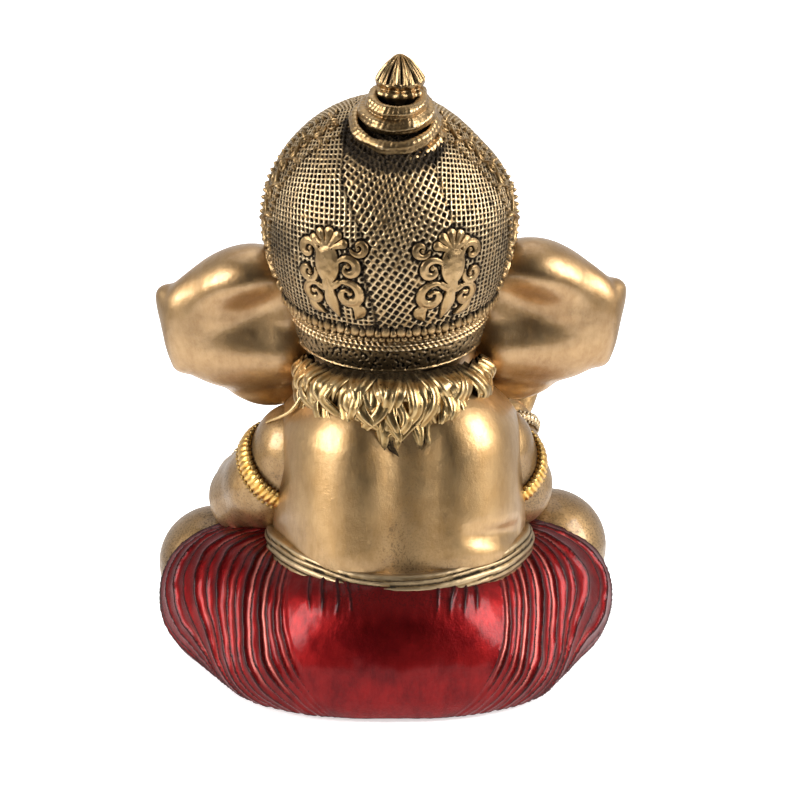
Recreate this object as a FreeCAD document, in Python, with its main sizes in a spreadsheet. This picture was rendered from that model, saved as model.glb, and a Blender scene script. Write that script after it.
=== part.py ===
"""A seated baby elephant-god idol in cold-cast resin, built as an assembly of keyed castings.

Millimetres. Z is up and the figure faces -Y, so its own left side is +X. The origin is on the
surface that the idol stands on, under the middle of its felt pad.
"""

import FreeCAD
import Part
import Sketcher

import math
import os

from FreeCAD import Placement, Rotation, Vector

OUT = "parts"
SIDES = (("left", 1), ("right", -1))

# Driving dimensions: alias, value, what it sets.
DIMENSIONS = (
    ("PadThick", 1.0, "felt pad thickness"),
    ("PadWide", 36.0, "felt pad half width"),
    ("PadDeep", 26.0, "felt pad half depth"),
    ("SeatWide", 38.0, "seat half width"),
    ("SeatDeep", 34.0, "seat half depth"),
    ("SeatTall", 25.0, "seat half height"),
    ("SeatBack", 5.0, "seat centre behind the origin"),
    ("SeatUp", 17.0, "seat centre height"),
    ("SkirtWide", 44.0, "half width of the cloth spread round the seat"),
    ("SkirtDeep", 33.0, "half depth of the cloth spread round the seat"),
    ("SkirtTall", 19.0, "half height of the cloth spread round the seat"),
    ("SkirtBack", 4.5, "spread cloth's centre behind the origin"),
    ("SkirtUp", 10.0, "spread cloth's centre height"),
    ("ThighLong", 32.0, "thigh half length"),
    ("ThighWide", 22.5, "thigh half width"),
    ("ThighTall", 21.0, "thigh half height"),
    ("LeftThighOut", 30.3, "left thigh centre, sideways"),
    ("RightThighOut", 28.3, "right thigh centre, sideways"),
    ("ThighFore", 5.0, "thigh centre, forwards"),
    ("ThighUp", 18.5, "thigh centre height"),
    ("ThighTurn", 42.0, "thigh turned outwards, degrees"),
    ("LeftKneeOut", 45.5, "left knee centre, sideways"),
    ("RightKneeOut", 41.0, "right knee centre, sideways"),
    ("LeftKneeUp", 24.5, "left knee centre height"),
    ("RightKneeUp", 29.0, "right knee centre height"),
    ("KneeFore", 27.0, "knee centre, forwards"),
    ("KneeRound", 14.8, "knee radius"),
    ("AnkleOut", 19.0, "ankle centre, sideways"),
    ("AnkleFore", 43.0, "ankle centre, forwards"),
    ("AnkleUp", 10.5, "ankle centre height"),
    ("AnkleRound", 7.6, "ankle radius"),
    ("FootLong", 12.0, "foot half length"),
    ("FootWide", 6.6, "foot half width"),
    ("FootTall", 6.2, "foot half height"),
    ("FootTurn", 32.0, "foot turned inwards, degrees"),
    ("ToeRound", 2.3, "big toe radius"),
    ("BellyWide", 28.0, "belly half width"),
    ("BellyDeep", 27.0, "belly half depth"),
    ("BellyTall", 20.0, "belly half height"),
    ("BellyFore", 9.0, "belly centre, forwards"),
    ("BellyUp", 48.0, "belly centre height"),
    ("BandRound", 3.0, "waistband section radius"),
    ("BandWide", 32.5, "waistband half width, to the middle of its section"),
    ("BandDeep", 29.5, "waistband half depth, to the middle of its section"),
    ("BandBack", 1.5, "waistband centre behind the origin"),
    ("BandUp", 36.5, "waistband mean height"),
    ("BandSag", 2.4, "how far the waistband dips at the back and front"),
    ("BodyAside", 2.0, "how far the trunk of the body sits to the figure's right"),
    ("SashWide", 9.0, "front sash half width at the hem"),
    ("SashThick", 3.0, "front sash half thickness"),
    ("HeadWide", 24.5, "head half width"),
    ("HeadDeep", 24.0, "head half depth"),
    ("HeadTall", 25.0, "head half height"),
    ("HeadFore", 11.0, "head centre, forwards"),
    ("HeadUp", 92.0, "head centre height"),
    ("EyeOut", 11.0, "eye centre, sideways"),
    ("EyeFore", 30.6, "eye centre, forwards"),
    ("EyeUp", 96.5, "eye centre height"),
    ("EyeRound", 3.2, "eye radius"),
    ("TurbanTilt", 15.0, "turban axis leaning back, degrees"),
    ("TurbanRound", 31.2, "turban radius"),
    ("TurbanTop", 30.4, "turban crown above its centre"),
    ("TurbanDrop", 36.5, "half height of the turban's lower ellipsoid"),
    ("TurbanHem", 59.7, "where the turban stops, degrees below its centre"),
    ("TurbanBack", 1.0, "turban centre behind the origin"),
    ("TurbanUp", 120.0, "turban centre height"),
    ("RimFloor", -31.5, "lower edge of the turban's rim, from the turban's centre"),
    ("RimCeiling", -22.6, "upper edge of the turban's rim, from the turban's centre"),
    ("RimLowInner", 18.0, "inner radius of the rim's lower edge"),
    ("RimLowOuter", 23.2, "outer radius of the rim's lower edge"),
    ("RimHighInner", 22.0, "inner radius of the rim's upper edge"),
    ("RimHighOuter", 25.4, "outer radius of the rim's upper edge"),
    ("ReliefHigh", 0.9, "how far the scroll ornaments stand out"),
    ("ScrollRound", 12.0, "radius of the patch that a scroll ornament fills"),
    ("ScrollTurn", 28.0, "how far each scroll ornament sits round from the back, degrees"),
    ("ScrollDip", 5.0, "how far each scroll ornament sits below the turban's centre, degrees"),
    ("BorderWide", 6.5, "width of the turban's side borders"),
    ("BorderStart", 14.0, "where a side border begins, sideways from the turban's middle"),
    ("CrestWide", 5.5, "crest half width"),
    ("CrestThick", 3.0, "crest half thickness"),
    ("CrestTall", 8.5, "crest half height"),
    ("CrestFore", 31.0, "crest centre ahead of the turban's axis"),
    ("CrestDrop", 9.0, "crest centre below the turban's centre"),
    ("BeadRound", 1.1, "bead radius of the turban's bead row"),
    ("BeadDrop", 21.6, "bead row below the turban's centre"),
    ("BeadRing", 25.8, "bead row radius"),
    ("EarThick", 6.0, "ear wall thickness"),
    ("EarOut", 37.0, "ear bowl centre, sideways"),
    ("EarFore", 11.0, "ear bowl centre, forwards"),
    ("EarUp", 90.5, "ear bowl centre height"),
    ("EarWide", 27.0, "ear bowl half width"),
    ("EarDeep", 14.0, "ear bowl half depth"),
    ("EarTall", 28.0, "ear bowl half height"),
    ("HairLow", 25.0, "nape hair radius at its tips"),
    ("HairHigh", 21.0, "nape hair radius at its roots"),
    ("HairLong", 21.0, "nape hair length"),
    ("HairTips", 70.0, "height of the hair's tips"),
    ("HairBack", 1.5, "nape hair axis behind the origin"),
    ("TierLow", 12.4, "lower topknot tier radius"),
    ("TierMid", 8.4, "middle topknot tier radius"),
    ("TierTop", 6.4, "finial radius"),
    ("PalmWide", 7.2, "palm half width"),
    ("PalmLong", 8.0, "palm half length"),
    ("PalmThick", 3.6, "palm half thickness"),
    ("FingerRound", 2.2, "finger half width"),
    ("FingerLong", 6.0, "finger half length"),
    ("FingerReach", 14.2, "middle of the fingers beyond the wrist"),
    ("FingerGap", 3.5, "spacing of the fingers"),
    ("ThumbRound", 2.3, "thumb half width"),
    ("ThumbLong", 5.5, "thumb half length"),
    ("ArmletThick", 1.9, "armlet section radius"),
    ("BangleThick", 1.3, "bangle section radius"),
    ("AnkletThick", 1.2, "anklet section radius"),
    ("NecklaceRound", 24.0, "necklace radius"),
    ("NecklaceThick", 2.0, "necklace section radius"),
    ("NecklaceTilt", 14.0, "how far the necklace dips in front, degrees"),
    ("NecklaceFore", 4.5, "necklace centre, forwards"),
    ("NecklaceUp", 69.5, "necklace centre height"),
    ("SweetWide", 6.2, "radius of the sweet"),
    ("SweetTall", 7.6, "height of the sweet's tip above its middle"),
    ("SweetSide", 28.5, "sweet centre, sideways"),
    ("SweetFore", 41.5, "sweet centre, forwards"),
    ("SweetUp", 55.5, "sweet centre height"),
)

# Limb stations: (x, y, z, radius) along each centreline, the figure's own left and right.
LIMBS = {
    "LeftArm": ((27, 3, 57, 10.5), (33, -4, 50, 9.8), (38.5, -13, 45.5, 8.8), (37.5, -24, 46, 7.8),
                (33, -33, 48, 6.6)),
    "RightArm": ((-27.5, 3, 57, 10.2), (-29.8, -5, 49.5, 9.2), (-30.5, -15, 47, 8.4), (-30.5, -25, 53, 7.8),
                 (-29.5, -31, 62, 6.4)),
    "Trunk": ((0, -27, 93, 10.5), (0, -38, 83, 9.4), (1, -43, 70, 8.0), (6, -45, 58, 6.8),
              (14, -46, 51, 5.8), (22, -47, 53, 4.6)),
    "LeftTusk": ((10, -29, 85, 3.0), (12.5, -36, 81, 2.4), (14, -42, 80.5, 1.0)),
    "RightTusk": ((-10, -29, 85, 3.0), (-11.6, -33.5, 82.4, 2.6), (-12.6, -36.5, 81.3, 2.3)),
}

# Torso sections: (height, centre y, half width, half depth).
TORSO = ((29, 3, 30, 26), (39, 0, 31, 29.5), (51, -1, 31, 29.5), (61, 0, 31, 26), (71, 1, 26, 21),
         (81, 1, 16, 14))

# Ear outline, as seen from behind: (sideways, height), round the rim from its upper root.
EAR = ((22, 109), (32, 111), (39, 112.5), (46.5, 110.6), (53, 104.5), (58.5, 100), (57.8, 90),
       (55, 79.5), (48, 76.5), (40, 71), (32, 68.6), (22, 75))

EAR_LETTERS = "ABCDEFGHIJKL"

# Front sash sections: (height, distance ahead, share of the hem's width).
SASH = ((31, 35.5, 0.45), (20, 37.0, 0.6), (10, 39.0, 0.85), (1, 42.0, 1.0))

# Topknot pieces: (x, y, z) of each piece's foot, and how far it leans back, degrees.
KNOT = {
    "Lower": (-1, 17, 146.4, 33),
    "Middle": (-1.5, 17, 149.8, 24),
    "Finial": (-2.3, 15, 155.4, 8),
}

doc = FreeCAD.newDocument("SeatedIdol")
sheet = doc.addObject("Spreadsheet::Sheet", "Dims")
parts = []


def fill_sheet():
    """Writes every driving dimension into the sheet as plain text, with its alias."""
    row = 1
    cells = [(alias, value, note) for alias, value, note in DIMENSIONS]
    for name, stations in LIMBS.items():
        for letter, station in zip("ABCDEF", stations):
            for axis, value in zip("XYZR", station):
                cells.append((f"{name}{letter}{axis}q", value, f"{name} station {letter}"))
    for letter, section in zip("ABCDEF", TORSO):
        for axis, value in zip(("Up", "Back", "Wide", "Deep"), section):
            cells.append((f"Torso{letter}{axis}", value, f"torso section {letter}"))
    for name, numbers in KNOT.items():
        for axis, value in zip(("Side", "Back", "Up", "Lean"), numbers):
            cells.append((f"{name}{axis}", value, f"topknot {name.lower()} piece"))
    for letter, (out, up) in zip(EAR_LETTERS, EAR):
        cells.append((f"EarRim{letter}Out", out, f"ear outline point {letter}, sideways"))
        cells.append((f"EarRim{letter}Up", up, f"ear outline point {letter}, height"))
    for letter, section in zip("ABCD", SASH):
        for axis, value in zip(("Up", "Fore", "Share"), section):
            cells.append((f"Sash{letter}{axis}", value, f"front sash section {letter}"))
    for alias, value, note in cells:
        sheet.set(f"A{row}", note)
        sheet.set(f"B{row}", str(value))
        sheet.setAlias(f"B{row}", alias)
        row += 1
    doc.recompute()


def dim(alias):
    """A driving dimension, read back from the sheet."""
    return float(getattr(sheet, alias))


def bind(obj, **formulas):
    """Binds properties to formulas of the sheet. A double underscore stands for a dot."""
    for prop, formula in formulas.items():
        obj.setExpression(prop.replace("__", "."), formula)
    return obj


def at(obj, x="0", y="0", z="0"):
    """Binds an object's place."""
    return bind(obj, Placement__Base__x=x, Placement__Base__y=y, Placement__Base__z=z)


def turned(obj, axis, angle_formula):
    """Binds a turn about an axis through the object's own origin."""
    obj.Placement = Placement(Vector(), Rotation(Vector(*axis), 1.0))
    return bind(obj, Placement__Rotation__Angle=angle_formula)


def halved(kind, name, **formulas):
    """A round solid made of two halves, so that no face of it closes on itself."""
    halves = []
    for word, turn in (("Near", 0), ("Far", 180)):
        half = doc.addObject(kind, name + word)
        half.Angle3 = 180
        half.Placement.Rotation = Rotation(Vector(0, 0, 1), turn)
        halves.append(bind(half, **formulas))
    return fuse(name, *halves)


def ellipsoid(name, wide, deep, tall):
    """An ellipsoid, half sizes along X, Y and Z."""
    return halved("Part::Ellipsoid", name, Radius1=tall, Radius2=wide, Radius3=deep)


def ball(name, radius):
    """A sphere."""
    return halved("Part::Sphere", name, Radius=radius)


def box(name, low, high):
    """A plain block between two corners, used as a cutter."""
    obj = doc.addObject("Part::Box", name)
    obj.Length, obj.Width, obj.Height = (b - a for a, b in zip(low, high))
    obj.Placement.Base = Vector(*low)
    return obj


def cut(name, base, *tools):
    """base less the tools, one after another."""
    for i, tool in enumerate(tools):
        last = i == len(tools) - 1
        obj = doc.addObject("Part::Cut", name if last else f"{name}Less{i}")
        obj.Base, obj.Tool = base, tool
        base = obj
    return base


def fuse(name, *shapes):
    """The union of several shapes."""
    obj = doc.addObject("Part::MultiFuse", name)
    obj.Shapes = list(shapes)
    obj.Refine = False
    return obj


def common(name, *shapes):
    """What several shapes share."""
    obj = doc.addObject("Part::MultiCommon", name)
    obj.Shapes = list(shapes)
    return obj


def part(obj, label):
    """Marks an object as a sub-part that gets its own file."""
    obj.Label = label
    parts.append(obj)
    return obj


def loft(name, sections):
    """A solid through closed sections."""
    obj = doc.addObject("Part::Loft", name)
    obj.Sections = sections
    obj.Solid = True
    return obj


def limb(name):
    """A round limb through its stations, each section square to the centreline."""
    stations = [Vector(*s[:3]) for s in LIMBS[name]]
    sections = []
    for i, letter in enumerate("ABCDEF"[: len(stations)]):
        before, after = stations[max(i - 1, 0)], stations[min(i + 1, len(stations) - 1)]
        ring = doc.addObject("Part::Circle", f"{name}Ring{letter}")
        ring.Placement = Placement(Vector(), Rotation(Vector(0, 0, 1), after - before))
        bind(ring, Radius=f"Dims.{name}{letter}Rq")
        at(ring, *(f"Dims.{name}{letter}{axis}q" for axis in "XYZ"))
        sections.append(ring)
    return loft(name + "Blank", sections)


def on_turban(obj, side, back, up):
    """Places an object in the turban's leaning frame."""
    obj.Placement = Placement(Vector(), Rotation(Vector(-1, 0, 0), 1.0))
    return bind(
        obj,
        Placement__Rotation__Angle="Dims.TurbanTilt",
        Placement__Base__x=f"{side}",
        Placement__Base__y=f"Dims.TurbanBack + {back} * cos(Dims.TurbanTilt) + ({up}) * sin(Dims.TurbanTilt)",
        Placement__Base__z=f"Dims.TurbanUp - {back} * sin(Dims.TurbanTilt) + ({up}) * cos(Dims.TurbanTilt)",
    )


def plane_of(body, role):
    """One of a body's own origin planes."""
    return next(f for f in body.Origin.OriginFeatures if f.Role == role)


def revolved(name, outline):
    """A PartDesign body turned about Z from an outline of (radius, height) corners.

    Each corner's radius and height may be a number or a formula of the sheet.
    """
    body = doc.addObject("PartDesign::Body", name + "Body")
    sketch = body.newObject("Sketcher::SketchObject", name + "Profile")
    sketch.AttachmentSupport = [(plane_of(body, "XZ_Plane"), "")]
    sketch.MapMode = "FlatFace"
    guess = [(value(r), value(h)) for r, h in outline]
    count = len(guess)
    for i in range(count):
        start, end = guess[i], guess[(i + 1) % count]
        sketch.addGeometry(Part.LineSegment(Vector(*start, 0), Vector(*end, 0)), False)
    for i in range(count):
        sketch.addConstraint(Sketcher.Constraint("Coincident", i, 2, (i + 1) % count, 1))
    for i, (radius, height) in enumerate(outline):
        for kind, item in (("DistanceX", radius), ("DistanceY", height)):
            index = sketch.addConstraint(Sketcher.Constraint(kind, -1, 1, i, 1, value(item)))
            if isinstance(item, str):
                sketch.setExpression(f"Constraints[{index}]", item)
    turn = body.newObject("PartDesign::Revolution", name + "Turn")
    turn.Profile = sketch
    turn.ReferenceAxis = (sketch, ["V_Axis"])
    turn.Angle = 360.0
    body.Tip = turn
    return body


def value(item):
    """A number, or what a simple formula 'Dims.Alias * factor' comes to."""
    if not isinstance(item, str):
        return float(item)
    alias, _, factor = item.replace("Dims.", "").partition(" * ")
    return dim(alias) * float(factor or 1)


# ---------------------------------------------------------------- blanks that others are fitted to

def make_torso_blank():
    """A round body through the torso sections, with the belly in front."""
    sections = []
    for letter, (up, back, wide, deep) in zip("ABCDEF", TORSO):
        ring = doc.addObject("Part::Ellipse", f"TorsoRing{letter}")
        bind(ring, MajorRadius=f"Dims.Torso{letter}Wide", MinorRadius=f"Dims.Torso{letter}Deep")
        sections.append(at(ring, "-Dims.BodyAside", f"Dims.Torso{letter}Back", f"Dims.Torso{letter}Up"))
    trunk_of_body = loft("TorsoLoft", sections)
    belly = at(
        ellipsoid("Belly", "Dims.BellyWide", "Dims.BellyDeep", "Dims.BellyTall"),
        "-Dims.BodyAside * 0.5", "-Dims.BellyFore", "Dims.BellyUp",
    )
    return fuse("TorsoBlank", trunk_of_body, belly)


def make_head_blank():
    """A plain round skull."""
    return at(
        ellipsoid("HeadBlank", "Dims.HeadWide", "Dims.HeadDeep", "Dims.HeadTall"),
        "0", "-Dims.HeadFore", "Dims.HeadUp",
    )


def turban_solid(name, grow, low, high):
    """The turban's round form grown outwards, between two angles of latitude about its centre."""
    pieces = []
    spans = (("Crown", "TurbanTop", max(low, 0.0), high), ("Skirt", "TurbanDrop", low, min(high, 0.0)))
    for word, tall, start, end in spans:
        piece = halved(
            "Part::Ellipsoid", name + word, Angle1=f"{start}", Angle2=f"{end}",
            Radius1=f"Dims.{tall} + {grow}", Radius2=f"Dims.TurbanRound + {grow}",
            Radius3=f"Dims.TurbanRound + {grow}",
        )
        pieces.append(on_turban(piece, "0", "0", "0"))
    return fuse(name, *pieces)


def make_pad():
    """The felt glued under the seat."""
    outline = doc.addObject("Part::Ellipse", "PadOutline")
    bind(outline, MajorRadius="Dims.PadWide", MinorRadius="Dims.PadDeep")
    pad = doc.addObject("Part::Extrusion", "Pad")
    pad.Base = outline
    pad.Dir = Vector(0, 0, 1)
    pad.Solid = True
    bind(pad, LengthFwd="Dims.PadThick")
    part(pad, "felt_pad")


def make_dhoti_blank():
    """The seat and both thighs in their cloth, flat where they rest on the pad."""
    masses = []
    for name, wide, deep, tall, back, up in (
        ("Seat", "SeatWide", "SeatDeep", "SeatTall", "SeatBack", "SeatUp"),
        ("Skirt", "SkirtWide", "SkirtDeep", "SkirtTall", "SkirtBack", "SkirtUp"),
    ):
        mass = ellipsoid(name, f"Dims.{wide}", f"Dims.{deep}", f"Dims.{tall}")
        masses.append(at(mass, "0", f"Dims.{back}", f"Dims.{up}"))
    for side, sign in SIDES:
        thigh = ellipsoid(f"{side}Thigh", "Dims.ThighLong", "Dims.ThighWide", "Dims.ThighTall")
        turned(thigh, (0, 0, -sign), "Dims.ThighTurn")
        out = f"{sign} * Dims.{side.capitalize()}ThighOut"
        masses.append(at(thigh, out, "-Dims.ThighFore", "Dims.ThighUp"))
    below = box("BelowBase", (-90, -90, -60), (90, 90, dim("PadThick")))
    return cut("DhotiBlank", fuse("DhotiMass", *masses), below)


def leg_ends(side, sign):
    """The middle of a knee and of its ankle."""
    word = side.capitalize()
    knee = Vector(sign * dim(f"{word}KneeOut"), -dim("KneeFore"), dim(f"{word}KneeUp"))
    ankle = Vector(sign * dim("AnkleOut"), -dim("AnkleFore"), dim("AnkleUp"))
    return knee, ankle


def make_leg_blank(side, sign):
    """A bare knee with the shin running in to the ankle."""
    start, end = leg_ends(side, sign)
    knee = ball(f"{side}Knee", "Dims.KneeRound")
    knee.Placement.Base = start
    shin = doc.addObject("Part::Cone", f"{side}Shin")
    shin.Placement = Placement(start, Rotation(Vector(0, 0, 1), end - start))
    bind(shin, Radius1="Dims.KneeRound * 0.9", Radius2="Dims.AnkleRound")
    shin.Height = (end - start).Length
    below = box(f"{side}BelowLeg", (-90, -90, -60), (90, 90, dim("PadThick")))
    return cut(f"{side}LegBlank", fuse(f"{side}LegMass", knee, shin), below)


def make_foot_blank(side, sign):
    """A plump foot with five toes, resting beside the pad."""
    turn = math.radians(dim("FootTurn"))
    ahead = Vector(-sign * math.sin(turn), -math.cos(turn), 0)
    across = Vector(sign * math.cos(turn), -math.sin(turn), 0)
    ankle = Vector(sign * dim("AnkleOut"), -dim("AnkleFore"), 0)
    middle = ankle + ahead * dim("FootLong") * 0.55
    sole = ellipsoid(f"{side}Sole", "Dims.FootWide", "Dims.FootLong", "Dims.FootTall")
    sole.Placement = Placement(middle + Vector(0, 0, dim("PadThick") + dim("FootTall") * 0.92),
                               Rotation(Vector(0, 0, -sign), dim("FootTurn")))
    masses = [sole]
    for i in range(5):
        share = 1 - 0.11 * i
        toe = ball(f"{side}Toe{i}", f"Dims.ToeRound * {share}")
        reach = dim("FootLong") * (0.93 - 0.05 * i * i / 4)
        aside = dim("FootWide") * (-0.72 + 0.38 * i)
        spot = middle + ahead * reach + across * aside
        toe.Placement.Base = spot + Vector(0, 0, dim("PadThick") + dim("ToeRound") * share)
        masses.append(toe)
    below = box(f"{side}BelowFoot", (-90, -90, -60), (90, 90, dim("PadThick")))
    return cut(f"{side}FootBlank", fuse(f"{side}FootMass", *masses), below)


def make_ear_blank(side, sign):
    """A bowl opening forwards, trimmed to the ear's outline."""
    points = [Vector(sign * dim(f"EarRim{c}Out"), -30, dim(f"EarRim{c}Up")) for c in EAR_LETTERS]
    rim = Part.BSplineCurve()
    rim.interpolate(Points=points, PeriodicFlag=True)
    sheet_of_ear = Part.Face(Part.Wire([rim.toShape()]))
    block = doc.addObject("Part::Feature", f"{side}EarBlock")
    block.Shape = sheet_of_ear.extrude(Vector(0, 60, 0))
    outer = ellipsoid(f"{side}EarOuter", "Dims.EarWide", "Dims.EarDeep", "Dims.EarTall")
    inner = ellipsoid(
        f"{side}EarInner", "Dims.EarWide - Dims.EarThick * 0.5",
        "Dims.EarDeep - Dims.EarThick * 0.25", "Dims.EarTall - Dims.EarThick * 0.5",
    )
    at(outer, f"{sign} * Dims.EarOut", "-Dims.EarFore", "Dims.EarUp")
    at(inner, f"{sign} * Dims.EarOut", "-Dims.EarFore - Dims.EarThick", "Dims.EarUp")
    bowl = cut(f"{side}EarBowl", outer, inner)
    return common(f"{side}EarBlank", bowl, block)


def make_hand(side, sign, arm):
    """A palm with four fingers and a thumb; the left one lies open, the right one is raised."""
    wrist = Vector(*LIMBS["LeftArm" if sign > 0 else "RightArm"][-1][:3])
    if sign > 0:
        ahead, across, normal = Vector(-0.45, -0.88, 0.1), Vector(0.88, -0.45, 0), Vector(0, 0, 1)
    else:
        ahead, across, normal = Vector(0, -0.25, 0.97), Vector(1, 0, 0), Vector(0, -0.97, -0.25)
    ahead.normalize()
    across.normalize()
    frame = Rotation(across, ahead, normal, "XYZ")
    palm = ellipsoid(f"{side}Palm", "Dims.PalmWide", "Dims.PalmLong", "Dims.PalmThick")
    palm.Placement = Placement(wrist + ahead * dim("PalmLong") * 0.81, frame)
    masses = [palm]
    for i in range(4):
        finger = ellipsoid(f"{side}Finger{i}", "Dims.FingerRound", "Dims.FingerLong", "Dims.FingerRound")
        from_middle = i - 1.5
        spot = wrist + ahead * (dim("FingerReach") - 0.7 * abs(from_middle))
        spot += across * from_middle * dim("FingerGap")
        finger.Placement = Placement(spot, frame)
        masses.append(finger)
    thumb = ellipsoid(f"{side}Thumb", "Dims.ThumbRound", "Dims.ThumbLong", "Dims.ThumbRound")
    thumb.Placement = Placement(
        wrist + ahead * dim("PalmLong") * 0.75 - across * dim("PalmWide") * 0.94,
        Rotation(across + ahead * 0.7, ahead - across * 0.7, normal, "XYZ"),
    )
    masses.append(thumb)
    part(cut(f"{side}Hand", fuse(f"{side}HandMass", *masses), arm), f"{side}_hand")


def ring_on(name, centre, normal, radius, thick):
    """A plain round ring about a limb, as a torus whose sizes are formulas."""
    ring = doc.addObject("Part::Torus", name)
    ring.Placement = Placement(centre, Rotation(Vector(0, 0, 1), normal))
    return bind(ring, Radius1=radius, Radius2=thick)


def make_waistband():
    """A rolled band round the waist, lowest at the back and front, highest at the hips."""
    sections = []
    for i in range(12):
        turn = math.radians(30 * i)
        ring = doc.addObject("Part::Circle", f"BandRing{i}")
        along = Vector(-math.cos(turn), math.sin(turn), -0.15 * math.sin(2 * turn))
        out = Vector(math.sin(turn), math.cos(turn), 0)
        ring.Placement = Placement(Vector(), Rotation(out, Vector(), along, "ZXY"))
        bind(ring, Radius="Dims.BandRound")
        at(
            ring,
            f"Dims.BandWide * {math.sin(turn):.6f} - Dims.BodyAside",
            f"Dims.BandBack + Dims.BandDeep * {math.cos(turn):.6f}",
            f"Dims.BandUp - Dims.BandSag * {math.cos(2 * turn):.6f}",
        )
        sections.append(ring)
    band = loft("BandLoft", sections)
    band.Closed = True
    return band


def make_sash():
    """The free end of the waist cloth, hanging in front and spreading on the ground."""
    sections = []
    for letter in "ABCD":
        ring = doc.addObject("Part::Ellipse", f"SashRing{letter}")
        bind(ring, MajorRadius=f"Dims.SashWide * Dims.Sash{letter}Share", MinorRadius="Dims.SashThick")
        sections.append(at(ring, "0", f"-Dims.Sash{letter}Fore", f"Dims.Sash{letter}Up"))
    return loft("SashBlank", sections)


def make_rim_blank():
    """The band at the turban's hem."""
    rim = revolved("RimRing", (
        ("Dims.RimLowInner", "Dims.RimFloor"), ("Dims.RimLowOuter", "Dims.RimFloor"),
        ("Dims.RimHighOuter", "Dims.RimCeiling"), ("Dims.RimHighInner", "Dims.RimCeiling")))
    return on_turban(rim, "0", "0", "0")


# ---------------------------------------------------------------- sub-parts, fitted to the blanks

def fit_body(torso, head, band, dhoti):
    """The torso, its waistband, the seat and the hanging sash."""
    part(cut("Torso", torso, head), "torso")
    part(cut("Waistband", band, torso), "waistband")
    part(cut("Dhoti", dhoti, fuse("SeatTools", torso, band)), "dhoti")
    part(cut("FrontSash", make_sash(), torso, band, dhoti), "front_sash")


def fit_head(head, turban, rim, trunk, torso):
    """The head with sockets for its eyes, the turban and its rim, the trunk and the tusks."""
    socketed = head
    for side, sign in SIDES:
        eye = ball(f"{side}Eye", "Dims.EyeRound")
        turned(eye, (1, 0, 0), "90")
        at(eye, f"{sign} * Dims.EyeOut", "-Dims.EyeFore", "Dims.EyeUp")
        part(eye, f"{side}_eye")
        socketed = cut(f"{side}Socketed", socketed, eye)
    part(socketed, "head")
    part(cut("Turban", turban, head), "turban")
    part(cut("Rim", rim, turban, head), "turban_rim")
    part(cut("TrunkFitted", trunk, head, torso), "trunk")
    for side, sign in SIDES:
        tusk = limb(f"{side.capitalize()}Tusk")
        part(cut(f"{side}TuskFitted", tusk, head, trunk), f"{side}_tusk")


def fit_ears(skull, rim, torso):
    """Both ears, fitted over the head and under the turban."""
    ears = []
    for side, sign in SIDES:
        ear = cut(f"{side}Ear", make_ear_blank(side, sign), skull, rim, torso)
        ears.append(part(ear, f"{side}_ear"))
    return ears


def fit_arm(side, sign, torso, dhoti, leg, ears):
    """An arm with its hand, the armlet above the elbow and the bangle at the wrist."""
    word = side.capitalize() + "Arm"
    blank = limb(word)
    part(cut(f"{side}Arm", blank, torso, dhoti, leg, *ears), f"{side}_arm")
    make_hand(side, sign, blank)
    shoulder, upper, elbow, fore, wrist = (Vector(*station[:3]) for station in LIMBS[word])
    armlet = ring_on(
        f"{side}ArmletRing", (shoulder + upper) * 0.5, elbow - shoulder,
        f"Dims.{word}BRq + Dims.ArmletThick * 0.47", "Dims.ArmletThick")
    part(cut(f"{side}Armlet", armlet, blank, torso, dhoti), f"{side}_armlet")
    bangle = ring_on(
        f"{side}BangleRing", fore * 0.25 + wrist * 0.75, wrist - fore,
        f"Dims.{word}DRq * 0.25 + Dims.{word}ERq * 0.75 + Dims.BangleThick * 1.2", "Dims.BangleThick")
    part(bangle, f"{side}_bangle")


def fit_leg(side, sign, leg, dhoti):
    """A bare leg with its foot and the anklet between them."""
    foot = make_foot_blank(side, sign)
    part(cut(f"{side}Leg", leg, dhoti, foot), f"{side}_leg")
    part(cut(f"{side}Foot", foot, dhoti), f"{side}_foot")
    start, end = leg_ends(side, sign)
    anklet = ring_on(
        f"{side}AnkletRing", end * 0.85 + start * 0.15, end - start,
        "Dims.AnkleRound + Dims.AnkletThick * 1.6", "Dims.AnkletThick")
    part(cut(f"{side}Anklet", anklet, leg, foot), f"{side}_anklet")


def fit_hair(skull, torso, ears):
    """Nape hair, between the turban's hem and the shoulders."""
    mane = doc.addObject("Part::Cone", "HairMass")
    bind(mane, Radius1="Dims.HairLow", Radius2="Dims.HairHigh", Height="Dims.HairLong")
    at(mane, "-Dims.BodyAside * 0.5", "Dims.HairBack", "Dims.HairTips")
    ahead = box("AheadOfHair", (-60, -60, 0), (60, 2, 160))
    part(cut("Hair", mane, skull, torso, ahead, *ears), "hair_fringe")
    return mane


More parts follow.
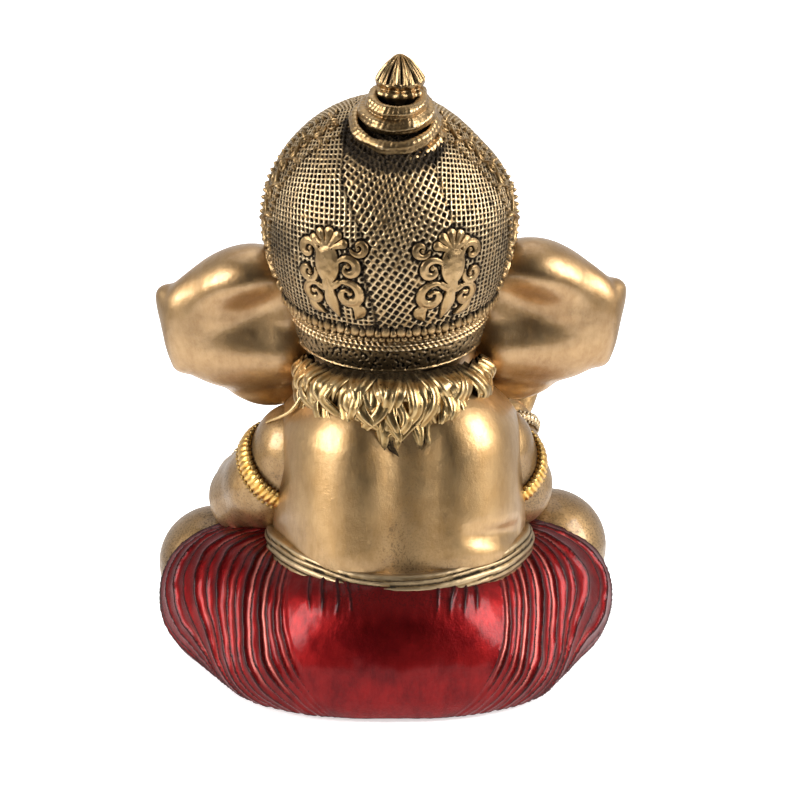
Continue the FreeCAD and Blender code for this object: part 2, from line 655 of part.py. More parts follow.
def fit_ornaments(turban):
    """The raised scrollwork on the turban: a patch each side of the back, and a border at each side."""
    crust = turban_solid("ReliefCrust", "Dims.ReliefHigh", -dim("TurbanHem"), 90.0)
    dip, swing = math.radians(dim("ScrollDip")), math.radians(dim("ScrollTurn"))
    middle = Vector(0, dim("TurbanBack"), dim("TurbanUp"))
    for side, sign in SIDES:
        plug = doc.addObject("Part::Cylinder", f"{side}ScrollPlug")
        bind(plug, Radius="Dims.ScrollRound", Height="Dims.TurbanRound + 8")
        aim = Vector(sign * math.sin(swing), math.cos(swing), -math.tan(dip))
        plug.Placement = Placement(middle, Rotation(Vector(0, 0, 1), aim))
        patch = common(f"{side}ScrollPatch", crust, plug)
        part(cut(f"{side}Scroll", patch, turban), f"{side}_scroll_ornament")
        slab = doc.addObject("Part::Box", f"{side}BorderSlab")
        bind(slab, Width="Dims.BorderWide", Length="Dims.TurbanRound", Height="Dims.TurbanRound + 20")
        start = "Dims.BorderStart" if sign > 0 else "-Dims.BorderStart - Dims.TurbanRound"
        on_turban(slab, start, "-Dims.BorderWide * 0.5", "-Dims.BorderStart")
        border = common(f"{side}BorderPatch", crust, slab)
        part(cut(f"{side}Border", border, turban), f"{side}_turban_border")


def fit_beads_and_crest(turban, rim, head):
    """The bead row round the hem and the jewel over the forehead."""
    beads = doc.addObject("Part::Torus", "BeadTorus")
    bind(beads, Radius1="Dims.BeadRing", Radius2="Dims.BeadRound")
    on_turban(beads, "0", "0", "-Dims.BeadDrop")
    part(cut("BeadRow", beads, turban, rim), "turban_bead_row")
    crest = ellipsoid("CrestMass", "Dims.CrestWide", "Dims.CrestThick", "Dims.CrestTall")
    on_turban(crest, "0", "-Dims.CrestFore", "-Dims.CrestDrop")
    part(cut("Crest", crest, turban, head, rim, beads), "turban_crest")


def fit_topknot(turban):
    """Two coiled tiers and a pointed finial, each seated in the one below."""
    lower = revolved("TierLower", (
        (0, -7), ("Dims.TierLow * 0.80", -7), ("Dims.TierLow", -1.5), ("Dims.TierLow * 0.98", 1.2),
        ("Dims.TierLow * 0.70", 3.4), (0, 3.4)))
    middle = revolved("TierMiddle", (
        (0, -4), ("Dims.TierMid * 0.72", -4), ("Dims.TierMid", -0.6), ("Dims.TierMid * 0.96", 1.4),
        ("Dims.TierMid * 0.68", 3.6), (0, 3.6)))
    finial = revolved("Finial", (
        (0, -4), ("Dims.TierTop * 0.72", -4), ("Dims.TierTop * 0.78", -1.2), ("Dims.TierTop", 0.2),
        ("Dims.TierTop * 0.62", 3.6), ("Dims.TierTop * 0.12", 6.2), (0, 6.4)))
    for name, piece in (("Lower", lower), ("Middle", middle), ("Finial", finial)):
        turned(piece, (-1, 0, 0), f"Dims.{name}Lean")
        at(piece, f"Dims.{name}Side", f"Dims.{name}Back", f"Dims.{name}Up")
    part(cut("TierLowerFitted", lower, turban), "topknot_lower_tier")
    part(cut("TierMiddleFitted", middle, turban, lower), "topknot_middle_tier")
    part(cut("FinialFitted", finial, middle, lower), "topknot_finial")


def fit_sweet(trunk):
    """The steamed sweet, seated in the left palm."""
    sweet = revolved("Sweet", (
        (0, -5), ("Dims.SweetWide * 0.74", -4.4), ("Dims.SweetWide", -1.2), ("Dims.SweetWide * 0.81", 2.2),
        ("Dims.SweetWide * 0.26", 5.0), ("Dims.SweetWide * 0.05", "Dims.SweetTall * 0.98"),
        (0, "Dims.SweetTall")))
    left_hand = next(p for p in parts if p.Label == "left_hand")
    at(sweet, "Dims.SweetSide", "-Dims.SweetFore", "Dims.SweetUp")
    part(cut("SweetFitted", sweet, left_hand, trunk), "modak_sweet")


def fit_necklace(torso, head, trunk, mane):
    """A plain ring for the string of beads, dipping in front."""
    collar = doc.addObject("Part::Torus", "CollarRing")
    bind(collar, Radius1="Dims.NecklaceRound", Radius2="Dims.NecklaceThick")
    turned(collar, (1, 0, 0), "Dims.NecklaceTilt")
    at(collar, "-Dims.BodyAside * 0.5", "-Dims.NecklaceFore", "Dims.NecklaceUp")
    part(cut("Collar", collar, torso, head, trunk, mane), "necklace")


def build():
    """Makes the blanks first, then fits each sub-part against the blanks that it meets."""
    fill_sheet()
    torso = make_torso_blank()
    head = make_head_blank()
    dhoti = make_dhoti_blank()
    turban = turban_solid("TurbanBlank", "0", -dim("TurbanHem"), 90.0)
    skull = fuse("Skull", head, turban)
    band = make_waistband()
    rim = make_rim_blank()
    trunk = limb("Trunk")

    make_pad()
    fit_body(torso, head, band, dhoti)
    fit_head(head, turban, rim, trunk, torso)
    ears = fit_ears(skull, rim, torso)
    for side, sign in SIDES:
        leg = make_leg_blank(side, sign)
        fit_arm(side, sign, torso, dhoti, leg, ears)
        fit_leg(side, sign, leg, dhoti)
    mane = fit_hair(skull, torso, ears)
    fit_beads_and_crest(turban, rim, head)
    fit_ornaments(turban)
    fit_topknot(turban)
    fit_sweet(trunk)
    fit_necklace(torso, head, trunk, mane)


def main():
    """Builds the idol, refuses anything unsound, and writes one file per sub-part."""
    build()
    doc.recompute()
    broken = [obj.Name for obj in doc.Objects if "Invalid" in obj.State or "Error" in obj.State]
    if broken:
        raise RuntimeError(f"objects that did not recompute: {broken}")
    for obj in parts:
        if obj.Shape.isNull() or not obj.Shape.isValid() or not obj.Shape.Solids:
            raise RuntimeError(f"{obj.Label} is not a sound solid")
    os.makedirs(OUT, exist_ok=True)
    for obj in parts:
        obj.Shape.exportStep(os.path.join(OUT, obj.Label + ".step"))
    print(f"wrote {len(parts)} solids")


main()
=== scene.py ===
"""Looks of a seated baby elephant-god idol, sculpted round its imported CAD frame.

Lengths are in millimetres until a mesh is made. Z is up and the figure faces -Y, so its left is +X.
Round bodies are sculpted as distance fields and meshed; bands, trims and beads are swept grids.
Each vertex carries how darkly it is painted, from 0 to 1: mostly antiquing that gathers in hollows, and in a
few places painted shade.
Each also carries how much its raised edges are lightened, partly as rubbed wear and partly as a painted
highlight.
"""

import math

import bpy
import numpy as np
import openvdb
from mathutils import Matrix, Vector


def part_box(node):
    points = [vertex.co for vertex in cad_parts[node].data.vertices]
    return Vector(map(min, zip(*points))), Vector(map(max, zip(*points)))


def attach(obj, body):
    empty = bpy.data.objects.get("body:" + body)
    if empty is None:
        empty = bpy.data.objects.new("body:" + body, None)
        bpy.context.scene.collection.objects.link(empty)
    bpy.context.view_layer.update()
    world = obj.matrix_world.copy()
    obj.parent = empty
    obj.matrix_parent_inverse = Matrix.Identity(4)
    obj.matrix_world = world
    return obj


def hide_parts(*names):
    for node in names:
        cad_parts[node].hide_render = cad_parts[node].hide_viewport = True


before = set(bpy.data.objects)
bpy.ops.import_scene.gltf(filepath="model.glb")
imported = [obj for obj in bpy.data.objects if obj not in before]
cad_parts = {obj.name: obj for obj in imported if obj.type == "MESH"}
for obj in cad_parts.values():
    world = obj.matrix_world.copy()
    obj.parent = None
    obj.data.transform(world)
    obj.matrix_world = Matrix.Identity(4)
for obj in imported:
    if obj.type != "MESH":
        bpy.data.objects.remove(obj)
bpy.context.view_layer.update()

MM = 0.001
TAU = 2 * math.pi
SIDES = (("left", 1), ("right", -1))
PAD_THICK = 1.0


def detail(full, quick):
    return full


FINE = detail(0.5, 1.0)


# ------------------------------------------------------------------ numbers and directions

def vec(*xyz):
    return np.array(xyz, float)


def box_mm(node):
    """A CAD node's lowest and highest corner."""
    low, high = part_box(node)
    return np.array(low) / MM, np.array(high) / MM


def unit(v):
    return v / np.maximum(np.linalg.norm(v, axis=-1, keepdims=True), 1e-9)


def turned(axis, degrees):
    """A rotation matrix, whose columns are the turned axes."""
    x, y, z = unit(vec(*axis))
    c, s = math.cos(math.radians(degrees)), math.sin(math.radians(degrees))
    k = np.array([[0, -z, y], [z, 0, -x], [-y, x, 0]])
    return np.eye(3) + s * k + (1 - c) * (k @ k)


def bearings(count):
    """Evenly spaced angles round a full turn."""
    return np.arange(count) * TAU / count


def repeated(direction, count):
    return np.repeat(direction[None], count, 0)


def pairs(us, vs):
    """Every pair of two lists' values, row by row."""
    return (a.ravel() for a in np.meshgrid(us, vs, indexing="ij"))


def step(x, start, end):
    """0 before start, 1 after end, smooth between."""
    t = np.clip((x - start) / (end - start), 0, 1)
    return t * t * (3 - 2 * t)


def ripple(p, wavelength, seed, waves=9):
    """Smooth random unevenness between about -1 and 1."""
    rng = np.random.default_rng(seed)
    ways = unit(rng.normal(size=(waves, 3))) * TAU / wavelength * rng.uniform(0.7, 1.4, (waves, 1))
    return np.cos(p @ ways.T + rng.uniform(0, TAU, waves)).sum(-1) * (1.6 / waves)


# ------------------------------------------------------------------ distance fields

def local(p, centre, turn=None):
    q = p - centre
    return q if turn is None else q @ turn


def ellipsoid(p, centre, half, turn=None):
    q = local(p, centre, turn)
    half = np.asarray(half, float)
    near = np.linalg.norm(q / half, axis=-1)
    steep = np.linalg.norm(q / half**2, axis=-1)
    return near * (near - 1) / np.maximum(steep, 1e-6)


def barrel(p, centre, half, power, turn=None):
    """An ellipsoid squared off towards a box as power grows from 2."""
    q = np.abs(local(p, centre, turn)) / half + 1e-6
    total = (q**power).sum(-1)
    value = total ** (1 / power)
    slope = np.linalg.norm(q ** (power - 1) / half, axis=-1) * total ** (1 / power - 1)
    return (value - 1) / np.maximum(slope, 1e-4)


def capsule(p, a, b, ra, rb):
    """A round limb from a to b that tapers from radius ra to rb."""
    ab = b - a
    t = np.clip((p - a) @ ab / (ab @ ab), 0, 1)
    return np.linalg.norm(p - a - t[..., None] * ab, axis=-1) - (ra + (rb - ra) * t)


def blend(soft, *fields):
    """The union of several fields, with fillets about soft wide."""
    out = fields[0]
    for other in fields[1:]:
        h = np.maximum(soft - np.abs(out - other), 0) / soft
        out = np.minimum(out, other) - h * h * soft / 4
    return out


def carve(soft, body, tool):
    """The body less the tool, with softened edges."""
    return -blend(soft, -body, tool)


def limb(p, stations, soft=4.0):
    """A chain of tapered capsules through (x, y, z, radius) stations."""
    s = [np.asarray(x, float) for x in stations]
    return blend(soft, *(capsule(p, a[:3], b[:3], a[3], b[3]) for a, b in zip(s, s[1:])))


# ------------------------------------------------------------------ meshing

def sample(field, low, count, cell):
    """The field on a grid, worked out only in the blocks that the surface may pass through."""
    side = 8
    blocks = -(-count // side)
    index = np.indices(blocks).reshape(3, -1).T
    middle = low + (index * side + (side - 1) / 2) * cell
    rough = field(middle)
    values = np.repeat(rough[:, None], side**3, axis=1)
    near = np.abs(rough) < cell * side * 1.1
    inner = np.indices((side,) * 3).reshape(3, -1).T * cell
    starts = low + index[near] * side * cell
    points = (starts[:, None, :] + inner).reshape(-1, 3)
    done = [field(points[i:i + 400000]) for i in range(0, len(points), 400000)]
    values[near] = np.concatenate(done).reshape(-1, side**3)
    shaped = values.reshape(*blocks, side, side, side).transpose(0, 3, 1, 4, 2, 5)
    return shaped.reshape(*(blocks * side))


def slope_of(field, p, reach):
    """The field's value and its gradient."""
    corners = np.array([[1, -1, -1], [-1, -1, 1], [-1, 1, -1], [1, 1, 1]], float)
    sampled = [field(p + c * reach) for c in corners]
    gradient = sum(c * s[:, None] for c, s in zip(corners, sampled)) / (4 * reach)
    return sum(sampled) / 4, gradient


def sculpt(field, low, high, cell):
    """Points and quads on the surface of a distance field inside a box."""
    low, high = np.asarray(low, float) - 2 * cell, np.asarray(high, float) + 2 * cell
    count = np.ceil((high - low) / cell).astype(int) + 1
    grid = openvdb.FloatGrid()
    values = sample(field, low, count, cell)
    grid.copyFromArray(np.ascontiguousarray(values / cell, dtype=np.float32))
    points, quads = grid.convertToQuads()
    p = points.astype(float) * cell + low
    for _ in range(2):
        value, gradient = slope_of(field, p, cell * 0.3)
        size = np.maximum((gradient**2).sum(-1), 0.2)
        p = p - np.clip(value / size, -cell, cell)[:, None] * gradient
    return p, quads[:, ::-1].astype(np.int64)


def lattice(rows, columns, wrap_rows=False, wrap_columns=False, start=0):
    """Quads of a grid of rows by columns points."""
    r = np.arange(rows if wrap_rows else rows - 1)
    c = np.arange(columns if wrap_columns else columns - 1)
    i, j = pairs(r, c)
    i2, j2 = (i + 1) % rows, (j + 1) % columns
    return start + np.stack([i * columns + j, i * columns + j2, i2 * columns + j2, i2 * columns + j], 1)


def joined(shapes):
    """One mesh's points and faces from several shapes."""
    points, faces, start = [], [], 0
    for p, f in shapes:
        points.append(p)
        faces.append(f + start)
        start += len(p)
    return np.concatenate(points), np.concatenate(faces)


def smooth_line(stations, count):
    """Points along a smooth curve through the stations."""
    s = np.asarray(stations, float)
    padded = np.vstack([2 * s[0] - s[1], s, 2 * s[-1] - s[-2]])
    at = np.linspace(0, len(s) - 1, count)
    i = np.minimum(at.astype(int), len(s) - 2)
    t = (at - i)[:, None]
    a, b, c, d = padded[i], padded[i + 1], padded[i + 2], padded[i + 3]
    return b + 0.5 * t * (c - a + t * (2 * a - 5 * b + 4 * c - d + t * (3 * (b - c) + d - a)))


def faced_out(shape):
    """The same closed shape with its faces turned outward."""
    p, f = shape
    a, b, c, d = (p[f[:, i]] - p.mean(0) for i in range(4))
    volume = (np.cross(c - a, d - b) * (a + b + c + d)).sum()
    return (p, f) if volume > 0 else (p, f[:, ::-1])


def circle(columns, wide=1.0, tall=1.0):
    """An ellipse as a closed outline."""
    turn = bearings(columns)
    return np.stack([wide * np.cos(turn), tall * np.sin(turn)], 1)


def swept(path, across, up, outline, closed=False):
    """A closed outline, or one for each point of the path, carried along the path."""
    outline = np.broadcast_to(outline, (len(path),) + outline.shape[-2:])
    points = path[:, None] + outline[..., :1] * across[:, None] + outline[..., 1:] * up[:, None]
    return faced_out((points.reshape(-1, 3), lattice(len(path), outline.shape[1], closed, True)))


def frames_along(path, up):
    """Sideways and upward directions at each point of an open path."""
    along = unit(np.gradient(path, axis=0))
    across = unit(np.cross(along, up))
    return across, np.cross(across, along)


def ring_path(centre, normal, radius, count):
    """A circle's points, with the outward and the axial direction at each."""
    axis = unit(np.asarray(normal, float))
    first = unit(np.cross(axis, vec(0.3, 1, 0.2)))
    turn = bearings(count)[:, None]
    out = np.cos(turn) * first + np.sin(turn) * np.cross(axis, first)
    return centre + out * radius, out, repeated(axis, count)


def beads(places, radii, frames=None, rows=7, columns=10, point=0.0):
    """Small balls, stretched by three radii and turned by frames; point narrows their tops."""
    places = np.atleast_2d(places)
    beta = np.linspace(math.pi / 2, -math.pi / 2, rows)[:, None]
    turn = bearings(columns)
    tall = np.sin(beta) + 0 * turn
    wide = np.cos(beta) * (1 - point * tall)
    ball = np.stack([wide * np.sin(turn), wide * np.cos(turn), tall], -1).reshape(-1, 3)
    body = ball * np.broadcast_to(np.asarray(radii, float), (len(places), 3))[:, None]
    if frames is not None:
        body = np.einsum("npk,nik->npi", body, frames)
    starts = np.arange(len(places)) * rows * columns
    faces = lattice(rows, columns, False, True) + starts[:, None, None]
    return (places[:, None] + body).reshape(-1, 3), faces.reshape(-1, 4)


def lathe(profile, columns, centre, turn=np.eye(3), squash=(1, 1)):
    """A profile of (radius, height) points turned about its own upright axis."""
    beta = bearings(columns)
    r, h = profile[:, :1], profile[:, 1:]
    shape = np.stack([r * np.sin(beta) * squash[0], r * np.cos(beta) * squash[1], h + 0 * beta], -1)
    points = centre + shape.reshape(-1, 3) @ turn.T
    return faced_out((points, lattice(len(profile), columns, False, True)))


def off_axis(stations, count):
    """A smooth profile through the stations, kept just clear of the lathe's axis."""
    profile = smooth_line(stations, count)
    profile[:, 0] = np.maximum(profile[:, 0], 0.01)
    return profile


def polar(q):
    """Each point's bearing from +Y and its reach from the upright axis."""
    return np.arctan2(q[:, 0], q[:, 1]), np.linalg.norm(q[:, :2], axis=1)


def crease_depth(points, quads, normals, passes):
    """How far each point lies below (or above, if negative) the mean of the surface round it, in mm."""
    ends = np.concatenate([quads[:, [i, (i + 1) % 4]] for i in range(4)])
    count = len(points)
    share = np.maximum(np.bincount(ends.ravel(), minlength=count), 1)
    smooth = points.copy()
    first, second = ends.T
    for _ in range(passes):
        for k in range(3):
            column = smooth[:, k]
            total = np.bincount(first, column[second], count) + np.bincount(second, column[first], count)
            smooth[:, k] = total / share
    return ((smooth - points) * normals).sum(-1)


def make_mesh(name, points, quads):
    mesh = bpy.data.meshes.new(name)
    mesh.vertices.add(len(points))
    mesh.vertices.foreach_set("co", (np.asarray(points) * MM).astype(np.float32).ravel())
    mesh.loops.add(quads.size)
    mesh.loops.foreach_set("vertex_index", quads.astype(np.int32).ravel())
    mesh.polygons.add(len(quads))
    mesh.polygons.foreach_set("loop_start", np.arange(0, quads.size, 4, dtype=np.int32))
    mesh.update(calc_edges=True)
    mesh.polygons.foreach_set("use_smooth", np.ones(len(quads), bool))
    return mesh


def normals_of(mesh):
    normals = np.empty(len(mesh.vertices) * 3, np.float32)
    mesh.vertex_normals.foreach_get("vector", normals)
    return normals.reshape(-1, 3).astype(float)


def piece(name, shape, paint, relief=None, crease=None):
    """Adds a finished piece in place of a CAD node, raised by its relief.

    paint is a material and the CAD slot that it belongs to; the slot is not used.
    relief takes points and normals, and gives how far each point is raised and how darkly it is painted,
    which is mostly antiquing and in places painted shade.
    crease is (passes, depth): creases about that deep are darkened by antiquing, and edges that high are
    lightened, partly as rubbed wear and partly as a painted highlight.
    """
    points, quads = shape
    material, slot = paint
    mesh = make_mesh(name, points, quads)
    patina_and_shade = np.zeros(len(points))
    wear_and_highlight = np.zeros(len(points))
    if relief:
        normals = normals_of(mesh)
        height, patina_and_shade = relief(points, normals)
        points = points + normals * np.asarray(height)[:, None]
        mesh.vertices.foreach_set("co", (points * MM).astype(np.float32).ravel())
        mesh.update()
    if crease:
        passes, deep = crease
        depth = crease_depth(points, quads, normals_of(mesh), passes)
        patina_and_shade = patina_and_shade + step(depth, deep * 0.2, deep)
        # Raised edges are lightened: partly rubbed wear, partly a painted highlight.
        wear_and_highlight = step(-depth, deep * 0.3, deep * 1.2)
    for key, values in (("patina_and_shade", patina_and_shade), ("wear_and_highlight", wear_and_highlight)):
        field = mesh.attributes.new(key, "FLOAT", "POINT")
        field.data.foreach_set("value", np.clip(values, 0, 1).astype(np.float32))
    obj = bpy.data.objects.new(name + "_finish", mesh)
    bpy.context.scene.collection.objects.link(obj)
    mesh.materials.append(material)
    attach(obj, "root")
    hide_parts(name)


def sculpted(node, field, cell, paint, relief, crease=None, box=None):
    """A piece sculpted within a box, or else a little beyond its CAD node's own."""
    if box is None:
        low, high = box_mm(node)
        box = low - 3, high + 3
    piece(node, sculpt(field, *box, FINE * cell), paint, relief, crease)


# ------------------------------------------------------------------ materials

class Nodes:
    """A short way to add and link shader nodes."""

    def __init__(self, name):
        self.material = bpy.data.materials.new(name)
        self.material.use_nodes = True
        self.tree = self.material.node_tree
        self.shader = self.tree.nodes["Principled BSDF"]
        self.spot = self.add("ShaderNodeTexCoord").outputs["Object"]

    def add(self, kind, **settings):
        node = self.tree.nodes.new(kind)
        for key, setting in settings.items():
            setattr(node, key, setting)
        return node

    def feed(self, socket, source):
        if hasattr(source, "is_output"):
            self.tree.links.new(source, socket)
        else:
            socket.default_value = source

    def math(self, operation, a, b=0.0):
        node = self.add("ShaderNodeMath", operation=operation)
        self.feed(node.inputs[0], a)
        self.feed(node.inputs[1], b)
        return node.outputs[0]

    def blotches(self, per_mm, detail=4.0, roughness=0.6, stretch=(1, 1, 1)):
        """Noise with about per_mm features a millimetre."""
        mapping = self.add("ShaderNodeMapping")
        mapping.inputs["Scale"].default_value = stretch
        self.feed(mapping.inputs["Vector"], self.spot)
        node = self.add("ShaderNodeTexNoise")
        node.inputs["Scale"].default_value = per_mm / MM
        node.inputs["Detail"].default_value = detail
        node.inputs["Roughness"].default_value = roughness
        self.feed(node.inputs["Vector"], mapping.outputs[0])
        return node.outputs["Fac"]

    def ramp(self, source, low, high, start=0.0, end=1.0):
        node = self.add("ShaderNodeMapRange", interpolation_type="SMOOTHSTEP")
        self.feed(node.inputs["Value"], source)
        for key, setting in zip(("From Min", "From Max", "To Min", "To Max"), (low, high, start, end)):
            node.inputs[key].default_value = setting
        return node.outputs[0]

    def mix(self, share, a, b):
        node = self.add("ShaderNodeMix", data_type="RGBA")
        self.feed(node.inputs[0], share)
        for socket, colour in ((node.inputs[6], a), (node.inputs[7], b)):
            self.feed(socket, colour if hasattr(colour, "is_output") else (*colour, 1.0))
        return node.outputs[2]

    def bump(self, height, distance_mm, strength=1.0, under=None):
        node = self.add("ShaderNodeBump")
        node.inputs["Strength"].default_value = strength
        node.inputs["Distance"].default_value = distance_mm * MM
        self.feed(node.inputs["Height"], height)
        if under is not None:
            self.feed(node.inputs["Normal"], under)
        return node.outputs[0]

    def field(self, name):
        return self.add("ShaderNodeAttribute", attribute_name=name).outputs["Fac"]

    def put(self, **sockets):
        for key, source in sockets.items():
            name = key.replace("_", " ")
            if isinstance(source, tuple):
                source = (*source, 1.0)
            self.feed(self.shader.inputs[name], source)


def metal_paint(name, pale, deep, patina_and_shade_colour, wear_and_highlight, rough, grain=0.05, coat=0.0, slot=None):
    """Metallic paint over resin, with its CAD slot, which is named like the paint unless it is given.

    Brush-work clouds from pale to deep. A dark colour is mixed in by the darkening value, which is antiquing
    in creases and painted shade in some places. Raised edges are lightened, partly as rubbed wear and partly
    as a painted highlight.
    """
    n = Nodes(name)
    cloud = n.ramp(n.blotches(0.11, 5.0), 0.32, 0.68)
    streak = n.ramp(n.blotches(0.55, 6.0, 0.7, (1.0, 1.0, 0.35)), 0.35, 0.7)
    tone = n.math("ADD", n.math("MULTIPLY", cloud, 0.6), n.math("MULTIPLY", streak, 0.4))
    colour = n.mix(tone, pale, deep)
    # Raised edges take the edge colour: partly rubbed wear, partly a painted highlight.
    colour = n.mix(n.math("MULTIPLY", n.field("wear_and_highlight"), 0.8), colour, wear_and_highlight)
    speck = n.ramp(n.blotches(1.9, 3.0, 0.7), 0.50, 0.62)
    # The darkening value: antiquing in hollows, and painted shade in some places.
    patina_and_shade_mix = n.math("MULTIPLY", n.field("patina_and_shade"), n.math("ADD", n.math("MULTIPLY", speck, 0.35), 0.75))
    patina_and_shade_mix = n.ramp(patina_and_shade_mix, 0.05, 0.85)
    colour = n.mix(patina_and_shade_mix, colour, patina_and_shade_colour)
    roughness = n.math("ADD", n.math("MULTIPLY", streak, 0.10), rough)
    roughness = n.math("ADD", roughness, n.math("MULTIPLY", patina_and_shade_mix, 0.28))
    bright = n.math("SUBTRACT", 1.0, n.math("MULTIPLY", patina_and_shade_mix, 0.15))
    surface = n.bump(n.blotches(1.6, 5.0, 0.75), grain * 1.6)
    surface = n.bump(n.blotches(0.35, 4.0, 0.6), grain * 2.4, 1.0, surface)
    n.put(Base_Color=colour, Roughness=roughness, Metallic=bright, Normal=surface)
    n.shader.inputs["Coat Weight"].default_value = coat
    n.shader.inputs["Coat Roughness"].default_value = 0.16
    return n.material, slot or name


# Each paint's colours are pale, deep, the dark colour (antiquing, and painted shade in places) and the edge
# colour (rubbed wear, and painted highlights on crests).
GOLD = metal_paint(
    "antique_gold", (0.46, 0.31, 0.155), (0.28, 0.175, 0.072), (0.008, 0.005, 0.003), (0.92, 0.72, 0.45),
    rough=0.27)
SATIN = metal_paint(
    "satin_gold", (0.51, 0.33, 0.155), (0.35, 0.205, 0.08), (0.030, 0.016, 0.007), (0.64, 0.47, 0.28),
    rough=0.34, grain=0.045, coat=0.4)
EAR_GOLD = metal_paint(
    "ear_gold", (0.47, 0.305, 0.15), (0.34, 0.20, 0.085), (0.05, 0.03, 0.012), (0.68, 0.50, 0.30),
    rough=0.36, grain=0.04, coat=0.45, slot="satin_gold")
SASH = metal_paint(
    "sash_gold", (0.26, 0.17, 0.08), (0.16, 0.10, 0.04), (0.012, 0.008, 0.004), (0.46, 0.34, 0.20),
    rough=0.38)
HAIR = metal_paint(
    "hair_gold", (0.38, 0.25, 0.10), (0.24, 0.14, 0.05), (0.012, 0.007, 0.003), (0.60, 0.43, 0.21),
    rough=0.27, slot="antique_gold")
AMBER = metal_paint(
    "amber_gold", (0.56, 0.28, 0.05), (0.34, 0.15, 0.02), (0.03, 0.012, 0.004), (0.86, 0.56, 0.18),
    rough=0.28, slot="antique_gold")
RED = metal_paint(
    "red_lacquer", (0.20, 0.008, 0.008), (0.09, 0.003, 0.004), (0.02, 0.001, 0.001), (0.54, 0.16, 0.13),
    rough=0.38, coat=0.20)
IVORY = metal_paint(
    "ivory_paint", (0.74, 0.66, 0.50), (0.62, 0.52, 0.36), (0.20, 0.12, 0.05), (0.85, 0.80, 0.68), rough=0.38)
SWEET = metal_paint(
    "sweet_paint", (0.74, 0.58, 0.32), (0.62, 0.44, 0.20), (0.12, 0.06, 0.02), (0.85, 0.72, 0.46), rough=0.38)
DARK = metal_paint(
    "eye_enamel", (0.035, 0.02, 0.012), (0.02, 0.01, 0.008), (0.0, 0.0, 0.0), (0.05, 0.03, 0.02),
    rough=0.08, grain=0.0, coat=1.0)
FELT = metal_paint(
    "felt", (0.03, 0.03, 0.03), (0.02, 0.02, 0.02), (0.01, 0.01, 0.01), (0.04, 0.04, 0.04),
    rough=0.8, grain=0.2)


# ------------------------------------------------------------------ seat, legs and torso

def thigh_axes(sign):
    """The two ends of the line that a thigh's pleats fan about."""
    return vec(sign * 12, -6, 47), vec(sign * -2, 30, -16)


def dhoti_field(p):
    seat = barrel(p, vec(0, 5, 17), vec(38, 34, 24.5), 2.25)
    skirt = barrel(p, vec(0, 4.5, 10), vec(44, 33, 17.5), 2.2)
    thighs = []
    for sign, out in ((1, 30.3), (-1, 27.6)):
        turn = turned((0, 0, -sign), 42)
        thighs.append(barrel(p, vec(sign * out, -5, 19.5), vec(32, 22.5, 20.5), 2.15, turn))
    body = blend(7, seat, skirt, *thighs)
    body = carve(1.5, body, ellipsoid(p, vec(-2, 1, 40), (30, 31, 9)))
    return np.maximum(body, PAD_THICK - p[:, 2])


def dhoti_relief(p, n):
    """Pleats fanning round each thigh, small gathers under the waistband, smooth cloth between, and painted
    shade under the waistband at the back.
    """
    height = 0.18 * ripple(p, 15, 5) + 0.05 * ripple(p, 5, 6)
    patina_and_shade = np.zeros(len(p))
    for sign in (1, -1):
        top, bottom = thigh_axes(sign)
        axis = unit(bottom - top)
        q = p - top
        along = q @ axis / np.linalg.norm(bottom - top)
        back = unit(vec(0, 1, 0) - axis[1] * axis)
        aside = np.cross(back, axis) * sign
        aside = aside if aside[0] * sign > 0 else -aside
        angle = np.degrees(np.arctan2(q @ aside, q @ back))
        bend = 2.4 * ripple(p * vec(1, 1, 0.35), 24, 31 + sign) + 0.5 * ripple(p, 7, 35)
        phase = (angle + bend) / 4.2
        number = np.floor(phase)
        wave = phase - number
        lean = 1.0 + 0.3 * np.sin(number * 2.1 + sign)
        fold = np.sin(math.pi * wave**lean) ** 0.62
        tall = 0.66 + 0.34 * np.sin(number * 2.63 + 1.0 + sign)
        begin = (40 if sign > 0 else 48) + 3 * np.sin(number * 1.7)
        fade = step(angle, begin - 7, begin + 6) * step(sign * p[:, 0], 9, 19) * (1 - step(angle, 150, 175))
        fade *= 1 - 0.75 * step(along, 0.56, 0.74)
        height += fade * (1.15 * fold * tall - 0.6)
        patina_and_shade += fade * (0.18 + 0.8 * step(1 - fold, 0.45, 1.0))
    under = step(p[:, 2], 25.5, 31.5) * step(p[:, 1], 12, 22)
    tick = np.maximum(0, np.sin(p[:, 0] * TAU / 3.1 + 2.2 * ripple(p, 9, 8))) ** 3
    place = step(np.abs(p[:, 0] + 1), 7, 13) * (1 - step(np.abs(p[:, 0] + 1), 19, 24))
    height -= under * place * tick * 0.45
    # Painted shade: the cloth just under the waistband at the back is darkened.
    shade = 0.55 * step(p[:, 2], 22, 32) * (1 - step(np.abs(p[:, 0] + 2), 14, 30)) * step(p[:, 1], 10, 24)
    return height, patina_and_shade + under * place * tick * 0.3 + shade


